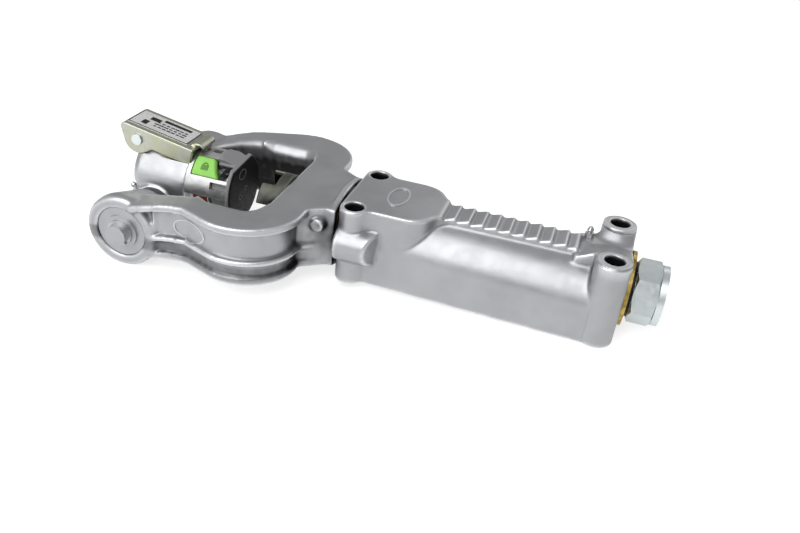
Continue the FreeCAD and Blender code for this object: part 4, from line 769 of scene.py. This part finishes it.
def relief(name, node, quads, place, material, low, high):
    """A thin raised piece from low to high, in millimetres, that rides with a CAD node."""
    piece = new_piece(name, slab(quads, place, low, high))
    dress(piece, material)
    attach(piece, NODES[node]["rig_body"])


class COUPLING_OT_ovals(bpy.types.Operator):
    """Raise the plain oval rims on the near arm and the top plate"""

    bl_idname = "coupling.ovals"
    bl_label = "Oval rims"

    def execute(self, context):
        bright = cast_finish("Worn rim", shade(settings("coupling_colours").casting, 1.6))
        for name, node, rim, place in (
                ("arm_oval", "yoke_casting", hoop(17.0, 15.8, cells=40, squash=0.56), arm_point),
                ("plate_oval", "body_casting", hoop(9.5, 8.3, cells=32, squash=2.0), plate_point)):
            relief(name, node, rim, place, bright, low=-0.4, high=0.8)
        return {"FINISHED"}


class COUPLING_OT_lever(bpy.types.Operator):
    """Lay a pressed-sheet skin on the release lever"""

    bl_idname = "coupling.lever"
    bl_label = "Release lever"

    def execute(self, context):
        skins = settings("coupling_skins")
        back = lever_point(1.0, 0.0, 0.0) - lever_point(0.0, 0.0, 0.0)
        soft_skin("release_lever", "pressed_lever", skins.lever_cell, skins.lever_rounds,
                  cut=(lever_point(LEVER_MOUTH, 0.0, 0.0), back))
        return {"FINISHED"}


def word_rows():
    """Geometry nodes: rows of plain bars of random length, as print that says nothing."""
    tree = bpy.data.node_groups.new("Rows of bars", "GeometryNodeTree")
    tree.interface.new_socket("Geometry", in_out="OUTPUT", socket_type="NodeSocketGeometry")
    inputs = {}
    for name, kind in (("Length", "Float"), ("Width", "Float"), ("Bars", "Int"), ("Rows", "Int"),
                       ("Seed", "Int"), ("Ink", "Material")):
        socket = tree.interface.new_socket(name, in_out="INPUT", socket_type="NodeSocket" + kind)
        inputs[name] = socket.identifier
    start, end, grid, word, stretch, place, solid, ink = (tree.nodes.new(kind) for kind in (
        "NodeGroupInput", "NodeGroupOutput", "GeometryNodeMeshGrid", "GeometryNodeMeshCube",
        "FunctionNodeRandomValue", "GeometryNodeInstanceOnPoints", "GeometryNodeRealizeInstances",
        "GeometryNodeSetMaterial"))
    word.inputs["Size"].default_value = WORD_SIZE
    stretch.data_type = "FLOAT_VECTOR"
    stretch.inputs["Min"].default_value, stretch.inputs["Max"].default_value = WORD_STRETCH
    for source, output, target, socket in (
            (start, "Length", grid, "Size X"), (start, "Width", grid, "Size Y"),
            (start, "Bars", grid, "Vertices X"), (start, "Rows", grid, "Vertices Y"),
            (start, "Seed", stretch, "Seed"), (grid, "Mesh", place, "Points"),
            (word, "Mesh", place, "Instance"), (stretch, "Value", place, "Scale"),
            (place, "Instances", solid, "Geometry"), (solid, "Geometry", ink, "Geometry"),
            (start, "Ink", ink, "Material"), (ink, "Geometry", end, "Geometry")):
        tree.links.new(source.outputs[output], target.inputs[socket])
    return tree, inputs


class COUPLING_OT_label(bpy.types.Operator):
    """Print a border, plain blocks and rows of plain bars on the lever's label"""

    bl_idname = "coupling.label"
    bl_label = "Label print"

    def execute(self, context):
        black = plastic_finish("Label ink", (0.02, 0.02, 0.02), 0.5)
        front, back, side, line = -15.0, 46.0, 14.2, 1.2
        border = (bar(front, -side, front + line, side) + bar(back - line, -side, back, side)
                  + bar(front + line, -side, back - line, line - side, cells=8))
        heading = bar(10.0, 7.2, 38.0, 11.4, cells=6)
        blocks = bar(-5.0, -9.0, 0.6, -1.0) + bar(-2.0, 2.2, 8.0, 8.4, cells=2)
        relief("label_print", "lever_label", border + heading + blocks, label_point, black,
               low=-0.05, high=0.08)

        piece = new_piece("label_rows", bpy.data.meshes.new("label_rows"))
        rows = piece.modifiers.new("Rows", "NODES")
        rows.node_group, inputs = word_rows()
        for name, value in (("Length", 28.0 * MM), ("Width", 8.4 * MM), ("Bars", 7), ("Rows", 3),
                            ("Seed", 5), ("Ink", black)):
            rows[inputs[name]] = value
        places = point_rows(plain_mesh(piece), "co")
        turn = np.array(Matrix.Rotation(LEVER_TILT, 3, "Y"))
        set_places(piece.data, places @ turn.T + np.array(label_point(22.0, -1.6, 0.02)))
        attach(piece, NODES["lever_label"]["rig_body"])
        return {"FINISHED"}


class COUPLING_OT_mouldings(bpy.types.Operator):
    """Lay moulded skins on the end cap and the locked tab, and raise their signs"""

    bl_idname = "coupling.mouldings"
    bl_label = "Cap and tab"

    def execute(self, context):
        skins = settings("coupling_skins")
        facet = (Vector((CAP_FACE_X, -14.0, 47.4)) * MM, Vector((0.356, -0.080, 0.931)))
        soft_skin("end_cap", "moulded_cap", skins.cap_cell, skins.cap_rounds, cut=facet)
        soft_skin("locked_tab", "moulded_tab", skins.cap_cell,
                  TAB_ROUNDS_SHARE * skins.cap_rounds)

        padlock = (bar(-3.4, -3.6, 3.4, 1.2, cells=4)
                   + hoop(2.6, 1.5, centre=(0.0, 1.2), end=180.0, cells=12))
        # The padlock is the tab's green painted darker, as shade on the raised sign.
        sign = plastic_finish("Green sign", shade(settings("coupling_colours").tab, 0.4), 0.42, spread=0.06)
        relief("padlock_sign", "locked_tab", padlock, barrel_point, sign, low=0.0, high=0.5)
        rings = (hoop(7.0, 6.2, centre=(-4.0, 15.5), squash=0.7) + hoop(2.6, 1.9, centre=(2.5, -1.0))
                 + hoop(2.6, 1.9, centre=(-9.0, -6.0)))
        # The cap's marks are grey on the black cap: rubbed relief with a painted highlight.
        with_wear_and_painted_light = plastic_finish("Worn cap marks", (0.30, 0.30, 0.31), 0.4)
        relief("cap_marks", "end_cap", rings, face_point, with_wear_and_painted_light, low=-0.4, high=0.25)
        return {"FINISHED"}


def maths(tree, operation, first, second):
    """The result of a math node on a socket and a second socket or number."""
    node = tree.nodes.new("ShaderNodeMath")
    node.operation = operation
    tree.links.new(first, node.inputs[0])
    if isinstance(second, float):
        node.inputs[1].default_value = second
    else:
        tree.links.new(second, node.inputs[1])
    return node.outputs[0]


def ray_kinds(tree):
    """Two sockets: 1 for rays from the camera or through glass, and 1 for reflections in metal."""
    path = tree.nodes.new("ShaderNodeLightPath")
    seen = maths(tree, "MAXIMUM", path.outputs["Is Camera Ray"], path.outputs["Is Transmission Ray"])
    return seen, path.outputs["Is Glossy Ray"]


def floor_material():
    """White floor: plain white to the camera, greyer in reflections, and it keeps the shadow."""
    material = bpy.data.materials.new("White floor")
    material.use_nodes = True
    tree = material.node_tree
    tree.nodes.clear()
    lit = tree.nodes.new("ShaderNodeBsdfDiffuse")
    lit.inputs["Color"].default_value = FLOOR_GREY
    glow = tree.nodes.new("ShaderNodeEmission")
    glow.inputs["Color"].default_value = WHITE
    seen, in_metal = ray_kinds(tree)
    level = maths(tree, "MAXIMUM", maths(tree, "MULTIPLY", seen, FLOOR_GLOW),
                  maths(tree, "MULTIPLY", in_metal, FLOOR_IN_METAL))
    tree.links.new(level, glow.inputs["Strength"])
    both = tree.nodes.new("ShaderNodeAddShader")
    tree.links.new(lit.outputs[0], both.inputs[0])
    tree.links.new(glow.outputs[0], both.inputs[1])
    output = tree.nodes.new("ShaderNodeOutputMaterial")
    tree.links.new(both.outputs[0], output.inputs["Surface"])
    return material


def lay_floor(size):
    """A square floor that touches the round arm bosses and the heel of the body."""
    half = size / 2
    slope = (math.asin(ARM_BOSS_RADIUS / math.hypot(BODY_HEEL.x, BODY_HEEL.z))
             + math.atan2(BODY_HEEL.z, BODY_HEEL.x))
    run = Vector((math.cos(slope), 0.0, math.sin(slope)))
    mesh = bpy.data.meshes.new("floor")
    corners = [BODY_HEEL + run * x + Vector((0.0, y, 0.0)) for x, y in
               ((-half, -half), (half, -half), (half, half), (-half, half))]
    mesh.from_pydata(corners, [], [(0, 1, 2, 3)])
    floor = new_piece("floor", mesh)
    dress(floor, floor_material())


def white_room(fill, in_metal_level):
    """A world that is white to the camera, lights by the fill and has its own level in metal."""
    world = bpy.data.worlds.new("White room")
    world.use_nodes = True
    tree = world.node_tree
    seen, in_metal = ray_kinds(tree)
    unseen = tree.nodes.new("ShaderNodeMapRange")
    unseen.inputs["To Min"].default_value = fill
    unseen.inputs["To Max"].default_value = in_metal_level
    level = tree.nodes.new("ShaderNodeMix")
    level.inputs[3].default_value = 1.0
    tree.links.new(in_metal, unseen.inputs["Value"])
    tree.links.new(seen, level.inputs[0])
    tree.links.new(unseen.outputs["Result"], level.inputs[2])
    back = tree.nodes["Background"]
    tree.links.new(level.outputs[0], back.inputs["Strength"])
    back.inputs["Color"].default_value = WHITE
    return world


def area_lamp(name, place, aim, size, power):
    """A rectangular lamp that faces its aim."""
    data = bpy.data.lights.new(name, "AREA")
    data.shape = "RECTANGLE"
    data.size, data.size_y = size
    data.energy = power
    lamp = bpy.data.objects.new(name, data)
    bpy.context.scene.collection.objects.link(lamp)
    lamp.location = place
    lamp.rotation_euler = (Vector(aim) - Vector(place)).to_track_quat("-Z", "Y").to_euler()


def photo_camera(lens):
    """The photograph's camera."""
    data = bpy.data.cameras.new("photo_camera")
    data.lens = lens
    data.sensor_width = 36.0
    data.clip_start = 0.01
    camera = bpy.data.objects.new("photo_camera", data)
    bpy.context.scene.collection.objects.link(camera)
    right = CAMERA_RIGHT.normalized()
    up = (CAMERA_UP - right * CAMERA_UP.dot(right)).normalized()
    turn = Matrix((right, up, right.cross(up))).transposed()
    camera.matrix_world = Matrix.Translation(CAMERA_PLACE) @ turn.to_4x4()
    return camera


class COUPLING_OT_stage(bpy.types.Operator):
    """Set up the white floor, the lamps and the photograph's camera"""

    bl_idname = "coupling.stage"
    bl_label = "Stage"

    def execute(self, context):
        stage = settings("coupling_stage")
        scene = context.scene
        scene.view_settings.view_transform = "Standard"
        lay_floor(stage.floor_size)
        scene.world = white_room(stage.fill, stage.room)
        for name, place, aim, size, power in LAMPS:
            area_lamp(name, place, aim, size, getattr(stage, power))
        scene.camera = photo_camera(stage.lens)
        return {"FINISHED"}


class COUPLING_PT_panel(bpy.types.Panel):
    """Lists the coupling head's steps and their settings"""

    bl_idname = "COUPLING_PT_panel"
    bl_label = "Coupling head"
    bl_space_type = "VIEW_3D"
    bl_region_type = "UI"
    bl_category = "Coupling"

    def draw(self, context):
        for step in STEPS:
            self.layout.operator(step.bl_idname)
        for group in GROUPS:
            box = self.layout.box()
            box.label(text=group.__doc__)
            for name in group.__annotations__:
                box.prop(settings(GROUPS[group]), name)


STEPS = (COUPLING_OT_stage, COUPLING_OT_finishes, COUPLING_OT_castings, COUPLING_OT_ovals, COUPLING_OT_lever,
         COUPLING_OT_label, COUPLING_OT_mouldings)
GROUPS = {CouplingColours: "coupling_colours", CouplingSkins: "coupling_skins",
          CouplingStage: "coupling_stage"}


def register():
    for group, name in GROUPS.items():
        bpy.utils.register_class(group)
        setattr(bpy.types.Scene, name, PointerProperty(type=group))
    for step in STEPS:
        bpy.utils.register_class(step)
    bpy.utils.register_class(COUPLING_PT_panel)


def unregister():
    bpy.utils.unregister_class(COUPLING_PT_panel)
    for step in reversed(STEPS):
        bpy.utils.unregister_class(step)
    for group, name in GROUPS.items():
        delattr(bpy.types.Scene, name)
        bpy.utils.unregister_class(group)


def main():
    register()
    for step in STEPS:
        family, action = step.bl_idname.split(".")
        getattr(getattr(bpy.ops, family), action)()


if __name__ == "__main__":
    main()
